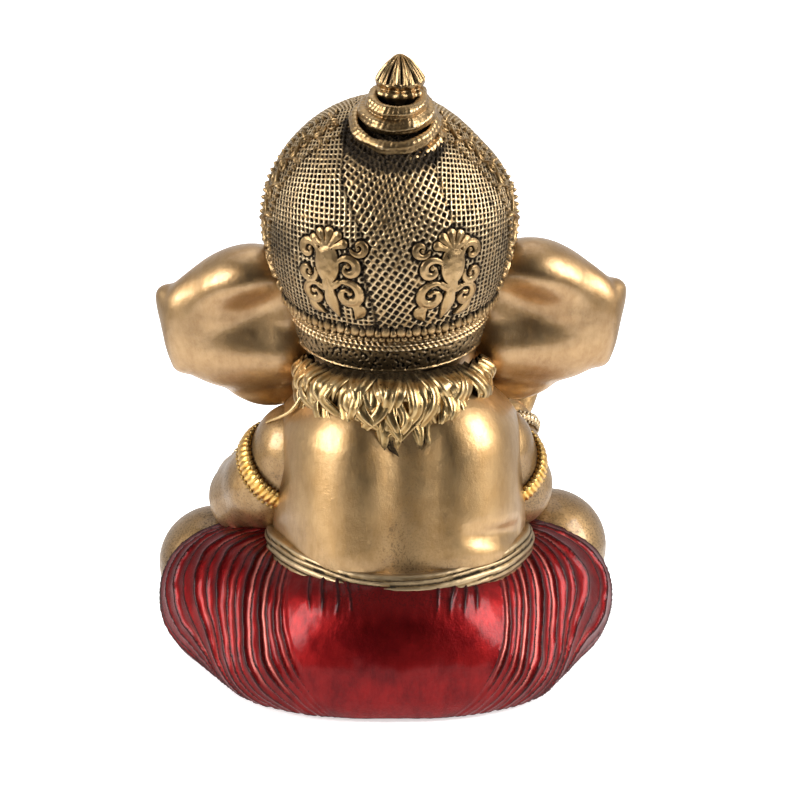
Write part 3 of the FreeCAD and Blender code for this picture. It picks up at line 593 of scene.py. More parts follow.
def torso_field(p):
    """A round back that is squared off only up and down, with a shallow spine and waist creases."""
    x, y, z = np.abs(p - vec(-2.2, -0.5, 46)).T / np.array([[31.4], [28.6], [37.0]]) + 1e-6
    across = (x**2.12 + y**2.12) ** (2.6 / 2.12)
    core = ((across + z**2.6) ** (1 / 2.6) - 1) * 29
    belly = ellipsoid(p, vec(-1, -9, 47.5), (29, 27, 20.5))
    shoulders = ellipsoid(p, vec(-1, 1, 66), (29, 18, 11))
    body = blend(9, core, belly, shoulders)
    ridges = (
        capsule(p, vec(7.5, 15.6, 40), vec(7.5, 14.3, 64), 12.6, 12.6),
        capsule(p, vec(-14.5, 13.2, 40), vec(-14.5, 12.3, 64), 13.0, 13.0),
    )
    body = blend(9, body, *ridges)
    body = carve(10, body, capsule(p, vec(-4.6, 33.4, 40), vec(-4.6, 31.2, 66), 3.2, 3.6))
    creases = ((vec(-21, 28, 45), vec(-33, 14, 43)), (vec(24, 27, 46), vec(31, 14, 45)))
    for a, b in creases:
        body = carve(5, body, capsule(p, a, b, 0.2, 0.3))
    body = carve(2.5, body, ellipsoid(p, vec(-1, -37, 43), (1.6, 3.5, 1.2)))
    return np.maximum(body, 28.5 - p[:, 2])


def skin_relief(p, n):
    """Slightly uneven satin skin, darkened in soft random stains and darker towards the bottom."""
    stain = 0.20 * step(ripple(p, 14, 61), 0.1, 0.9) + 0.08 * step(ripple(p, 5, 62), 0.3, 1.0)
    return 0.06 * ripple(p, 11, 3) + 0.012 * ripple(p, 3, 4), stain + 0.16 * (1 - step(p[:, 2], 22, 58))


def limb_relief(p, n):
    """Satin skin, darker all over than the other skin."""
    height, patina_and_shade = skin_relief(p, n)
    return height, patina_and_shade + 0.38


def torso_relief(p, n):
    """Satin skin, with painted shade down the hollow of the back, and darker just above the waist cloth."""
    height, patina_and_shade = skin_relief(p, n)
    # Painted shade: the hollow of the back is darkened, standing in for the dim reflection there.
    hollow = np.exp(-((p[:, 0] + 4.6) / 7.0) ** 2) * step(p[:, 1], 5, 20)
    # Darker just above the waist cloth as well.
    return height, patina_and_shade + 0.32 * hollow + 0.12 * (1 - step(p[:, 2], 36.5, 41))


# Each side's arm from shoulder to wrist, as (x, y, z, radius).
ARMS = {
    1: ((23, 1.5, 61.5, 11.6), (31, -4, 51, 10.0), (36.5, -13, 45.5, 8.8), (36.5, -24, 46, 7.8),
        (33, -33, 48, 6.6)),
    -1: ((-24.5, 1.5, 61.5, 11.4), (-30, -5, 50.5, 9.6), (-30.5, -15, 47, 8.4), (-30.5, -25, 53, 7.8),
         (-29.5, -31, 62, 6.4)),
}


def leg_of(sign):
    """A leg's knee and ankle."""
    knee = vec(45.5, -27, 24.5) if sign > 0 else vec(-41, -27, 29)
    ankle = vec(sign * 19, -43, 10.5)
    return knee, ankle


def build_body():
    sculpted("dhoti", dhoti_field, 0.85, RED, dhoti_relief, (8, 0.22), ((-60, -33, 0), (60, 40, 41)))
    sculpted("torso", torso_field, 1.3, SATIN, torso_relief, None, ((-36, -38, 28), (32, 32, 85)))
    for side, sign in SIDES:
        sculpted(side + "_arm", lambda p: limb(p, ARMS[sign], 5), 1.2, SATIN, limb_relief)
        knee, ankle = leg_of(sign)

        def leg_field(p):
            ball = ellipsoid(p, knee, (14.6, 14.6, 14.6))
            shin = capsule(p, knee, ankle, 12.5, 7.4)
            calf = ellipsoid(p, knee * 0.5 + ankle * 0.5 + vec(0, 3, -1), (9, 9, 8))
            return np.maximum(blend(4, ball, shin, calf), PAD_THICK - p[:, 2])

        sculpted(side + "_leg", leg_field, 1.2, SATIN, limb_relief)


# ------------------------------------------------------------------ head

def head_field(p):
    skull = ellipsoid(p, vec(0, -11, 92), (24.3, 23.8, 24.6))
    cheeks = [ellipsoid(p, vec(s * 12.5, -25, 81), (9.5, 8.5, 8.5)) for s in (1, -1)]
    brow = [
        ellipsoid(p, vec(s * 10, -30.5, 101), (6.5, 3.5, 3.0), turned((0, 1, 0), s * -10)) for s in (1, -1)]
    body = blend(6, skull, *cheeks)
    body = blend(4, body, *brow)
    for s in (1, -1):
        body = carve(2.0, body, ellipsoid(p, vec(s * 11, -32.2, 96.5), (4.2, 3.2, 3.2)))
        lid = capsule(p, vec(s * 7.2, -33.4, 98.9), vec(s * 14.4, -31.6, 98.2), 0.9, 0.9)
        body = blend(1.5, body, lid)
    return body


# The trunk from brow to tip, as (x, y, z, radius).
TRUNK = ((0, -27, 93, 10.3), (0, -38, 83, 9.3), (1, -43, 70, 7.9), (6, -45, 58, 6.7), (14, -46, 51, 5.7),
         (22, -47, 53, 4.5))


def trunk_rings(p, n):
    """Shallow rings round the trunk, closer towards its tip."""
    stations = np.array(TRUNK)
    middle = (stations[:-1, :3] + stations[1:, :3]) / 2
    nearest = np.linalg.norm(p[:, None] - middle, axis=-1).argmin(1)
    starts = stations[nearest, :3]
    spans = stations[nearest + 1, :3] - starts
    share = ((p - starts) * spans).sum(-1) / (spans**2).sum(-1)
    groove = np.maximum(0, np.cos(TAU * (share * 3 + 0.6 * ripple(p, 20, 51)))) ** 8
    return skin_relief(p, n)[0] - 0.35 * groove, 0.35 * groove


def ear_field(sign):
    """A folded ear: a swelling over a valley, a lower lobe that leans forward, and a flared lip."""
    def field(p):
        flat = p * vec(sign, 1, 1) + vec(0, 0, 0 if sign > 0 else -1.6)
        below = 99 - flat[:, 2]
        q = flat.copy()
        q[:, 1] += 0.24 * (np.sqrt(below**2 + 30) + below) / 2
        base = ellipsoid(q, vec(36.5, -4.5, 91.5), (20, 7.4, 17.6), turned((0, 1, 0), 3))
        bump = ellipsoid(q, vec(35.0, -2.4, 102.8), (12.0, 9.8, 9.2), turned((0, 1, 0), 8))
        ridge = capsule(q, vec(44, -4.5, 99), vec(54.6, -8.0, 97.0), 5.2, 2.8)
        root = ellipsoid(q, vec(27, -2, 97.5), (6.5, 7.5, 7.0))
        band = capsule(q, vec(49.5, -6.6, 84.2), vec(27, -2.6, 83.6), 4.0, 7.0)
        web = ellipsoid(q, vec(44.6, -7.2, 90.6), (10.0, 4.6, 11.2), turned((0, 1, 0), 14))
        lip = capsule(q, vec(56.6, -8.4, 98.4), vec(52.9, -5.8, 80.6), 2.0, 1.9)
        front = ellipsoid(flat, vec(33.5, -13, 79.5), (13.0, 4.4, 9.6), turned((0, 1, 0), -26))
        body = blend(6, base, bump, ridge, web)
        body = blend(5, body, root, band)
        body = blend(3.2, body, lip)
        body = blend(2.0, body, front)
        body = carve(9, body, ellipsoid(q, vec(32, 8.4, 96.2), (9, 5.4, 3.0), turned((0, 1, 0), 14)))
        return carve(3, body, ellipsoid(flat, vec(38, -19.2, 91), (18.5, 10.5, 19)))
    return field


def build_head():
    sculpted("head", head_field, 1.3, SATIN, skin_relief, None, ((-25, -36, 66), (25, 14, 118)))
    around = ((-11, -53, 44), (27, -20, 104))
    sculpted("trunk", lambda p: limb(p, TRUNK, 5), 1.2, SATIN, trunk_rings, None, around)
    for side, sign in SIDES:
        sculpted(side + "_ear", ear_field(sign), 1.0, EAR_GOLD, skin_relief)


# ------------------------------------------------------------------ turban

TURBAN_MID = vec(0.3, 1, 120)
TURBAN_TURN = turned((-1, 0, 0), 15)
ROUND = 31.2
TOP = 30.4
DEEP = 36.5
HEM = -31.5


def in_turban(p):
    """Points in the turban's own frame."""
    return (p - TURBAN_MID) @ TURBAN_TURN


def from_turban(q):
    return TURBAN_MID + q @ TURBAN_TURN.T


def turban_radius(up):
    """The turban's radius at a height in its own frame."""
    return ROUND * np.sqrt(1 - (up / np.where(up > 0, TOP, DEEP)) ** 2)


def slump(d):
    """How far the turban's top sits lower on the figure's right."""
    return 1.6 * step(-d[:, 0], 0.2, 0.8) * step(d[:, 2], 0.2, 0.65)


def turban_at(direction, out):
    """The point of the turban in a direction of its own frame, moved out from its surface."""
    d = unit(direction)
    tall = np.where(d[:, 2] > 0, TOP, DEEP)
    reach = 1 / np.sqrt((d[:, 0] ** 2 + d[:, 1] ** 2) / ROUND**2 + d[:, 2] ** 2 / tall**2)
    return from_turban(d * (reach + out - slump(d))[:, None])


def stroke(q, line):
    """Distance from flat points to a pen stroke through (u, v, half width) stations."""
    best = np.full(len(q), 1e3)
    for a, b in zip(line, line[1:]):
        ab = b[:2] - a[:2]
        t = np.clip((q - a[:2]) @ ab / (ab @ ab), 0, 1)
        away = np.linalg.norm(q - a[:2] - t[:, None] * ab, axis=1)
        best = np.minimum(best, away - a[2] - (b[2] - a[2]) * t)
    return best


def curl(u, v, outer, start, turns, width):
    """A scroll that winds in to a round eye."""
    share = np.linspace(0, 1, 26)
    angle = np.radians(start) + TAU * turns * share
    reach = outer * (1 - 0.78 * share)
    swell = np.sin(math.pi * np.minimum(share * 1.25, 1)) ** 0.8
    half = width * (0.45 + 0.75 * swell) + 0.35 * (share > 0.97)
    return np.stack([u + reach * np.cos(angle), v + reach * np.sin(angle), half], 1)


def rosette_distance(q):
    """The scroll ornament as a flat shape, with its inner side towards +u."""
    body = np.linalg.norm((q - vec(-0.8, 2.6)) / vec(3.4, 5.4), axis=1)
    best = (body - 1) * 3.4
    for angle in (-64, -32, 0, 32, 64):
        way = vec(math.sin(math.radians(angle)), math.cos(math.radians(angle)))
        root, tip = vec(-0.8, 6.4) + way * 0.6, vec(-0.8, 6.4) + way * 4.6
        petal = np.array([[*root, 0.5], [*(root * 0.4 + tip * 0.6), 0.85], [*tip, 1.3]])
        best = np.minimum(best, stroke(q, petal))
    curls = (
        curl(-6.4, 5.2, 2.9, -20, 1.15, 0.95),
        curl(4.9, 2.2, 3.1, 165, -1.15, 1.0),
        curl(-6.6, -0.9, 2.7, 30, -1.1, 0.9),
        curl(4.4, -5.4, 3.9, 120, -1.2, 1.1),
        curl(-4.9, -6.8, 3.3, 60, 1.15, 1.0),
        curl(7.6, 8.0, 2.3, 200, 1.05, 0.8),
    )
    stems = (
        smooth_line([(-0.8, 0, 1.4), (0.2, -3.4, 1.1), (2.2, -2.2, 0.9)], 8),
        smooth_line([(-0.8, -1, 1.3), (-1.8, -4.2, 1.0), (-3.4, -4.0, 0.8)], 8),
        smooth_line([(-0.6, -3, 1.0), (-0.2, -8.0, 1.8), (1.2, -12.6, 0.3)], 12),
        smooth_line([(5.8, -8.6, 0.7), (7.0, -10.2, 1.7), (5.4, -12.8, 0.3)], 10),
        smooth_line([(-6.8, -9.2, 0.7), (-5.4, -11.2, 1.5), (-2.8, -12.4, 0.3)], 10),
    )
    for line in (*curls, *stems):
        best = np.minimum(best, stroke(q, line))
    return best


ROSETTES_AT = {1: vec(0.455, 0.88, -0.09), -1: vec(-0.47, 0.88, -0.11)}


def rosette_frame(sign):
    """A scroll ornament's middle direction and its inward and upward ones, in the turban's frame."""
    middle = unit(ROSETTES_AT[sign])
    inward = unit(np.cross(vec(0, 0, 1), middle)) * sign
    inward = inward if inward[0] * sign < 0 else -inward
    upward = unit(vec(0, 0, 1) - middle * middle[2])
    return middle, inward, upward


def rosette_plane(p, sign):
    """Turban points flattened round a scroll ornament's middle."""
    middle, inward, upward = rosette_frame(sign)
    d = unit(in_turban(p))
    angle = np.arccos(np.clip(d @ middle, -1, 1))
    flat = unit(np.stack([d @ inward, d @ upward], 1)) * (angle * 32)[:, None]
    return flat, angle


# The basket weave's spacing across its rows and along them.
ROW_PITCH = 1.46
STITCH_PITCH = 1.42


def weave(p):
    """The basket weave's depth of pit, with the cloth's wraps each running their own way."""
    d = unit(in_turban(p))
    spread = np.arccos(np.clip(np.abs(d[:, 1]), 0, 1))
    flat = unit(d[:, [0, 2]]) * (spread * 31.5)[:, None]
    across, up = flat.T
    left_seam = 6.5 + 7 * step(up, 5, 26) - 3 * step(-up, 0, 16)
    right_seam = -16.5 + 3 * step(up, 8, 26)
    turn = np.radians(np.where(across > left_seam, -4, np.where(across < right_seam, 7, 33)))
    wobble = 0.25 * ripple(p, 12, 41)
    s = across * np.cos(turn) + up * np.sin(turn) + wobble
    t = -across * np.sin(turn) + up * np.cos(turn) + wobble
    middle = (across < left_seam) & (across > right_seam)
    coarse = np.where(middle, 1.0 + 0.25 * step(-up, -14, 8), 1.0)
    rows = (1 + np.cos(TAU * t / (ROW_PITCH * np.where(middle, 1.14, 1.0)))) / 2
    stitches = (1 + np.cos(TAU * s / (STITCH_PITCH * np.where(middle, 1.2, 1.0)))) / 2
    # This random unevenness only varies how deep the pits are.
    wear_and_highlight = 0.35 * ripple(p, 5, 44) + 0.40 * ripple(p, 1.9, 45)
    pit = rows ** (0.6 / coarse) * stitches ** (0.95 / coarse) * np.clip(0.9 + wear_and_highlight, 0.35, 1.15)
    seam = np.exp(-((across - left_seam) / 0.7) ** 2) + 0.7 * np.exp(-((across - right_seam) / 0.7) ** 2)
    return pit, seam * (d[:, 1] > 0)


def turban_relief(p, n):
    q = in_turban(p)
    pit, seam = weave(p)
    near = 0 * pit
    for sign in (1, -1):
        flat, angle = rosette_plane(p, sign)
        close = angle < 0.5
        near[close] = np.maximum(near[close], 1 - step(rosette_distance(flat[close]), 0.1, 0.9))
    uneven = 0.16 * ripple(p, 13, 42) + 0.07 * ripple(p, 2.2, 47)
    height = -0.60 * pit - 0.35 * seam + uneven - 0.25 * near
    # Painted shadow: the turban is darkened in a ring round the topknot's foot.
    topknot_shadow = 1 - step(np.linalg.norm(p - vec(-1, 19, 144), axis=1), 12.2, 14.6)
    patina_and_shade = step(pit, 0.10, 0.46) + 0.6 * seam + near + 0.9 * topknot_shadow
    # Random darker blotches, and darker towards the bottom.
    patina_and_shade += 0.28 * step(ripple(p, 16, 43), -0.2, 0.9) + 0.16 * step(-q[:, 2], -8, 12)
    # Fine random speckle, and painted shade down both sides of the turban.
    patina_and_shade += 0.35 * step(ripple(p, 3.2, 46, 14), 0.2, 0.9) + 0.40 * step(np.abs(q[:, 0]), 15, 28)
    outer = np.linalg.norm(q[:, :2], axis=1) > turban_radius(np.clip(q[:, 2], HEM, TOP)) - 2
    return (height - slump(unit(q))) * outer, patina_and_shade


def build_turban():
    columns, rows = detail((900, 380), (300, 130))
    latitude = np.linspace(math.pi / 2, math.asin(HEM / DEEP), rows)
    tall = np.where(latitude > 0, TOP, DEEP)
    profile = np.stack([ROUND * np.cos(latitude), tall * np.sin(latitude)], 1)
    profile = np.vstack([profile, (10.0, HEM + 1.0), (0.01, HEM + 1.5)])
    piece("turban", lathe(profile, columns, TURBAN_MID, TURBAN_TURN), GOLD, turban_relief, (3, 0.09))


RIM_TOP = -22.6


def build_rim():
    """The band at the hem: two fine cords over a stippled strip and a rolled edge."""
    low, high = HEM - 0.2, RIM_TOP
    up = np.linspace(high, low, 64)
    share = (high - up) / (high - low)
    roll = 0.5 * np.exp(-((share - 0.95) / 0.05) ** 2)
    cords = 0.45 * sum(np.exp(-((share - c) / 0.035) ** 2) for c in (0.10, 0.24))
    wall = turban_radius(high) - 1.7 * share + 0.9 * np.maximum(np.sin(math.pi * share), 0) ** 0.4
    profile = np.stack([wall + roll + cords, up], 1)
    profile = np.vstack([(22.0, high + 0.3), profile, (21.0, low - 0.1), (12.0, low + 0.6)])

    def relief(p, n):
        q = in_turban(p)
        share = (high - q[:, 2]) / (high - low)
        strip = step(share, 0.30, 0.36) * (1 - step(share, 0.86, 0.92))
        dots = step(ripple(p, 1.5, 61, 16), 0.0, 0.5)
        twist = 0.10 * np.cos(np.arctan2(q[:, 0], q[:, 1]) * 110 + share * 30) * (share < 0.3)
        return twist - 0.45 * strip * dots, strip * (0.35 + 0.65 * dots) + 0.15

    piece("turban_rim", lathe(profile, detail(900, 300), TURBAN_MID, TURBAN_TURN), GOLD, relief, (4, 0.12))


def build_bead_row():
    """A ring of beads round the turban under a ring of leaf-shaped spikes."""
    count = 90
    beads_up, spikes_up, spike_foot = np.array(-21.4), np.array(-18.6), -20.4
    turn = bearings(count)
    out = np.stack([np.sin(turn), np.cos(turn), 0 * turn], 1)
    ring = from_turban(out * (turban_radius(beads_up) + 0.4) + vec(0, 0, beads_up))
    shapes = [beads(ring, 0.92)]
    for offset, tall, half in ((0.5, 2.3, 1.15), (1.5, 1.5, 0.85)):
        turn = (np.arange(0, count, 2) + offset) * TAU / count
        way = np.stack([np.sin(turn), np.cos(turn), 0 * turn], 1)
        side = np.stack([np.cos(turn), -np.sin(turn), 0 * turn], 1)
        up = repeated(vec(0, 0, 1), len(turn))
        frames = TURBAN_TURN @ np.stack([side, way, up], 2)
        places = from_turban(way * (turban_radius(spikes_up) + 0.15) + vec(0, 0, spike_foot + tall))
        shapes.append(beads(places, (half, 0.8, tall), frames, 9, 10, 0.55))

    def relief(p, n):
        q = in_turban(p)
        lift = np.linalg.norm(q[:, :2], axis=1) - turban_radius(q[:, 2])
        return 0 * lift, 1 - step(lift, 0.3, 1.1)

    piece("turban_bead_row", joined(shapes), GOLD, relief)


def build_rosettes():
    """The scroll ornaments: sheets over the turban's back, raised along each ornament's lines."""
    count = detail(210, 110)
    for side, sign in SIDES:
        middle, inward, upward = rosette_frame(sign)
        q = np.stack([*pairs(np.linspace(-10.4, 10.8, count), np.linspace(-13.6, 13.2, count))], 1)
        angle = np.linalg.norm(q, axis=1, keepdims=True) / 32
        direction = np.cos(angle) * middle + np.sin(angle) * (unit(q) @ np.stack([inward, upward]))
        gap = rosette_distance(q)
        raised = step(-gap, -0.18, 0.22) * (0.84 + 0.16 * step(-gap, 0.2, 1.6))
        height = -1.1 + 1.65 * raised
        points = turban_at(direction, height)
        quads = lattice(count, count)
        if sign > 0:
            quads = quads[:, ::-1]

        def relief(p, n):
            vein = 0.06 * ripple(p, 2.4, 71)
            return vein * (raised > 0.5), 1 - step(raised, 0.45, 0.85) + 0.12 * step(ripple(p, 5, 72), 0, 1)

        piece(side + "_scroll_ornament", (points, quads), GOLD, relief)


def lace_distance(s, w):
    """A running scroll with leaves and beads, as a flat shape along s."""
    period = 8.4
    phase = s / period * TAU
    best = np.abs(w - 1.9 * np.sin(phase)) / np.sqrt(1 + (1.9 * TAU / period * np.cos(phase)) ** 2) - 0.5
    for shift, way in ((0.25, 1), (0.75, -1)):
        along = (s / period - shift + 0.5) % 1 * period - period / 2
        ring = np.hypot(along, w + way * 0.6)
        best = np.minimum(best, np.abs(ring - 1.35) - 0.38)
        best = np.minimum(best, ring - 0.62)
        leaf = np.hypot(along / 0.85, (w - way * 3.9) / 1.5) - 1
        best = np.minimum(best, leaf * 0.85)
    for edge in (-5.6, 5.6):
        along = (s / 1.9 + 0.5) % 1 * 1.9 - 0.95
        best = np.minimum(best, np.hypot(along, w - edge) - 0.78)
    return best


def build_borders():
    """Raised lace down both sides of the turban, from the topknot to the ears."""
    rows, columns = detail((430, 66), (220, 34))
    for side, sign in SIDES:
        angle, w = pairs(np.radians(np.linspace(24, 121, rows)), np.linspace(-6.7, 6.7, columns))
        direction = np.stack([sign * np.sin(angle), (w + 6.0) / 31, np.cos(angle)], 1)
        gap = lace_distance(angle * 31.2, w)
        raised = step(-gap, -0.25, 0.30)
        points = turban_at(direction, -1.3 + 2.4 * raised * (0.75 + 0.25 * step(-gap, 0.1, 0.9)))
        quads = lattice(rows, columns)
        if sign < 0:
            quads = quads[:, ::-1]

        def relief(p, n):
            patina_and_shade = 1.25 - step(raised, 0.4, 0.9) + 0.3 * step(ripple(p, 6, 74), 0, 1)
            return 0.05 * ripple(p, 2.2, 73) * raised, patina_and_shade

        piece(side + "_turban_border", (points, quads), GOLD, relief)


def build_crest():
    """A leaf-shaped jewel over the forehead, with petals round a raised stone and a beaded edge."""
    middle = from_turban(vec(0, -30.6, -9))
    wide, tall = 5.2, 8.2
    body = beads(middle, (wide, 2.8, tall), TURBAN_TURN[None], 60, 72, 0.25)

    def relief(p, n):
        q = (p - middle) @ TURBAN_TURN
        angle = np.arctan2(q[:, 0], q[:, 2])
        reach = np.hypot(q[:, 0] / wide, q[:, 2] / tall)
        petal = np.abs(np.sin(angle * 5)) ** 0.5 * step(reach, 0.40, 0.48) * (1 - step(reach, 0.92, 1.0))
        stone = 0.9 * np.sqrt(np.maximum(0, 1 - (reach / 0.38) ** 2))
        patina_and_shade = 0.7 * step(reach, 0.34, 0.40) * (1 - step(reach, 0.44, 0.50))
        return 0.45 * petal + stone * (q[:, 1] < 0), patina_and_shade

    turn = bearings(30)
    edge = np.stack([5.0 * np.sin(turn) * (1 - 0.25 * np.cos(turn)), 0 * turn - 0.4, 8.0 * np.cos(turn)], 1)
    studs = beads(middle + edge @ TURBAN_TURN.T, 0.72)
    piece("turban_crest", joined([body, studs]), GOLD, relief)


# ------------------------------------------------------------------ topknot

def topknot_tier(name, centre, lean, outline, strands, hollow):
    """One coil of the topknot: a rolled lip of twisted strands round a dark hollow."""
    turn = turned((-1, 0, 0), lean)
    profile = off_axis(outline, detail(90, 40))

    def relief(p, n):
        q = local(p, centre, turn)
        angle, reach = polar(q)
        outer = step(reach, 1.5, 4.0)
        twist = np.cos(strands * angle + 1.5 * q[:, 2] + 0.8 * ripple(p, 5, 81))
        cord = np.cos(q[:, 2] * 3.6 + angle * 2 + 1.1 * ripple(p, 8, 82))
        height = outer * (0.04 * twist + 0.12 * cord) + 0.38 * ripple(p, 7, 83)
        lines = outer * (0.15 * step(-twist, 0.2, 1) + 0.35 * step(-cord, 0.3, 1))
        inside = (1 - step(reach, hollow, hollow + 1.2)) * step(q[:, 2], -3, -1)
        return height, lines + inside + step(-q[:, 2], 3.4 + 0.25 * hollow, 5.4 + 0.25 * hollow)

    piece(name, lathe(profile, detail(360, 120), centre, turn), GOLD, relief, (14, 0.30))


def build_topknot():
    lower = ((7.0, -8.4), (10.6, -8.2), (12.3, -7.0), (12.9, -5.4), (12.6, -4.0), (11.5, -3.0), (10.6, -2.9),
             (10.9, -1.9), (11.0, -0.6), (10.3, 0.5), (9.2, 0.7), (8.2, -0.6), (7.0, -1.0), (0.0, -1.0))
    middle = ((4.6, -4.6), (7.4, -4.4), (9.0, -3.2), (9.4, -1.8), (8.9, -0.6), (7.8, -0.1), (7.3, 0.2),
              (7.6, 1.2), (7.3, 2.3), (6.3, 3.0), (5.1, 2.7), (4.3, 1.4), (3.9, 0.0), (0.0, -0.3))
    topknot_tier("topknot_lower_tier", vec(-1, 17, 146.4), 33, lower, 46, 8.6)
    topknot_tier("topknot_middle_tier", vec(-1.5, 17, 149.8), 24, middle, 38, 4.6)

    centre, turn = vec(-2.3, 15, 155.4), turned((-1, 0, 0), 8)
    bud = off_axis(((4.4, -6.6), (4.7, -4.8), (5.4, -4.0), (6.2, -3.1), (6.1, -2.1), (5.3, -1.4), (5.9, -0.4),
                    (5.9, 0.6), (4.9, 2.2), (3.4, 4.1), (1.9, 5.5), (0.7, 6.3), (0.0, 6.5)), 110)

    def relief(p, n):
        q = local(p, centre, turn)
        angle, reach = polar(q)
        slope = step(q[:, 2], -0.3, 0.8) * step(reach, 0.3, 1.6)
        groove = (1 - np.abs(np.sin(angle * 5 + 0.3))) ** 2.2
        rib = 0.16 * np.cos(angle * 30 + 0.8 * ripple(p, 4, 84))
        collar = 0.20 * np.cos(angle * 12 + 1.2 * ripple(p, 6, 85)) * (1 - step(q[:, 2], -1.0, 0.0))
        below = 1 - step(q[:, 2], -5.2, -4.0)
        height = collar + slope * (rib - 0.70 * groove) + 0.10 * ripple(p, 3, 86)
        return height, slope * step(groove, 0.2, 0.6) + below + 0.15

    piece("topknot_finial", lathe(bud, detail(300, 100), centre, turn), GOLD, relief, (8, 0.25))


# ------------------------------------------------------------------ hair at the nape

NAPE = vec(-0.8, 1.5, 0)


def nape_radius(z):
    """How far the hair's roots stand from the nape's axis at a height."""
    return 21 + (91 - z) * 4 / 21


def build_hair():
    """Layers of curved, ridged locks from under the turban's hem, longest at the middle of the nape."""
    rng = np.random.default_rng(12)
    rows, columns = detail((40, 26), (20, 14))
    down = np.linspace(0, 1, rows)
    grooves = 1 + 0.15 * np.cos(bearings(columns) * 5)
    shapes = []
    for count, lift, long, wide in ((23, 0.0, 1.08, 2.3), (22, 0.9, 0.96, 2.15), (19, 1.6, 0.80, 1.9)):
        for i in range(count):
            side = 2 * (i + 0.5 + rng.uniform(-0.25, 0.25)) / count - 1
            bearing = math.radians(84) * side
            middle = math.cos(bearing)
            start = 85.0 - 1.6 * middle
            end = start - long * (10.5 + 6.0 * middle) * rng.uniform(0.88, 1.06)
            z = start + (end - start) * down
            bow = rng.uniform(1.4, 3.0) * (1 if rng.uniform() < 0.5 + 0.4 * side else -1)
            hook = rng.uniform(1.5, 4.6) * (-1 if rng.uniform() < 0.5 + 0.35 * side else 1)
            shift = bow * np.sin(math.pi * np.minimum(down * 1.15, 1)) + hook * down**2.4
            shift = shift + 0.9 * np.sin(down * 8 + i * 2.3) * down
            tucked = (7.5 * middle + 0.5) * (1 - step(down, -0.15, 0.22))
            sway = 0.8 * np.sin(math.pi * down**0.8) + 0.6 * np.sin(down * 9 + i * 1.3) - 0.9 * down
            reach = nape_radius(z) + lift * (0.4 + 0.6 * middle) + sway - tucked
            angle = bearing + shift / 22
            path = NAPE + np.stack([reach * np.sin(angle), reach * np.cos(angle), z], 1)
            outward = np.stack([np.sin(angle), np.cos(angle), 1.0 - step(down, 0, 0.5)], 1)
            across, up = frames_along(path, outward)
            thick = np.maximum(1 - down**2.4, 0.01) ** 0.8
            outline = circle(columns, wide, 1.0) * grooves[:, None]
            roll = 0.35 * math.sin(i * 1.9) * np.sin(down * 4)[:, None, None]
            lock = thick[:, None, None] * outline[None]
            flat, tall = lock[..., :1], lock[..., 1:]
            lock = np.concatenate([flat - roll * tall, tall + roll * flat], -1)
            shapes.append(swept(path, across, up, lock))
    for sign in (1, -1):
        strand = smooth_line([(sign * 20, 11, 80), (sign * 24.5, 10.5, 73), (sign * 31, 6.5, 69)], 20)
        across, up = frames_along(strand, vec(0, 1, 0.5))
        taper = np.linspace(0.8, 0.3, 20)[:, None, None]
        shapes.append(swept(strand, across, up, circle(10) * taper))
    scalp_z = np.linspace(93, 73.5, 30)
    tuck = 9.0 * step(scalp_z, 77, 86) + 3.0 * step(-scalp_z, -80, -73)
    scalp = np.stack([nape_radius(scalp_z) - 1.0 - tuck, scalp_z], 1)
    shapes.append(lathe(np.vstack([(0.01, 93), scalp, (0.01, 73.5)]), 120, NAPE))

    def relief(p, n):
        lift = polar(p - NAPE)[1] - nape_radius(p[:, 2])
        return 0 * lift, 0.9 * (1 - step(lift, -1.0, 1.5))

    piece("hair_fringe", joined(shapes), HAIR, relief, (3, 0.09))


# ------------------------------------------------------------------ waistband, sash and jewellery

# Each pressed fold's place round the band's outline, and its depth.
BAND_VALLEYS = ((0.86, 0.16), (0.42, 0.22), (TAU - 0.10, 0.14), (TAU - 0.62, 0.20))


def build_waistband():
    """A sash wound round the waist, with four pressed folds running along it."""
    count, columns = detail((420, 48), (200, 30))
    wide, deep = 31.6, 28.6
    turn = bearings(count)
    path = np.stack([-2 + wide * np.cos(turn), 1.5 + deep * np.sin(turn), 35.1 + 2.8 * np.cos(2 * turn)], 1)
    outward = unit(np.stack([np.cos(turn) / wide, np.sin(turn) / deep, 0 * turn], 1))
    up = repeated(vec(0, 0, 1.0), count)
    around = (np.arange(columns) + 0.5) * TAU / columns
    wander = 0.10 * np.sin(turn * 5 + 1)[:, None] + 0.05 * np.sin(turn * 11)[:, None]
    valleys = sum(sunk * np.exp(-((around - place + wander) / 0.13) ** 2) for place, sunk in BAND_VALLEYS)
    squared = np.sign(np.cos(around)) * np.abs(np.cos(around)) ** 0.75
    flat = np.stack([2.5 * squared, 3.9 * np.sin(around)], -1)
    outline = flat[None] * (1 - valleys[..., None])

    def relief(p, n):
        height = 0.10 * ripple(p * vec(1, 1, 2.4), 12, 91) + 0.05 * ripple(p, 3, 92)
        return height, 0.08 * step(ripple(p, 9, 93), 0, 1)

    piece("waistband", swept(path, outward, up, outline, True), SASH, relief, (6, 0.10))


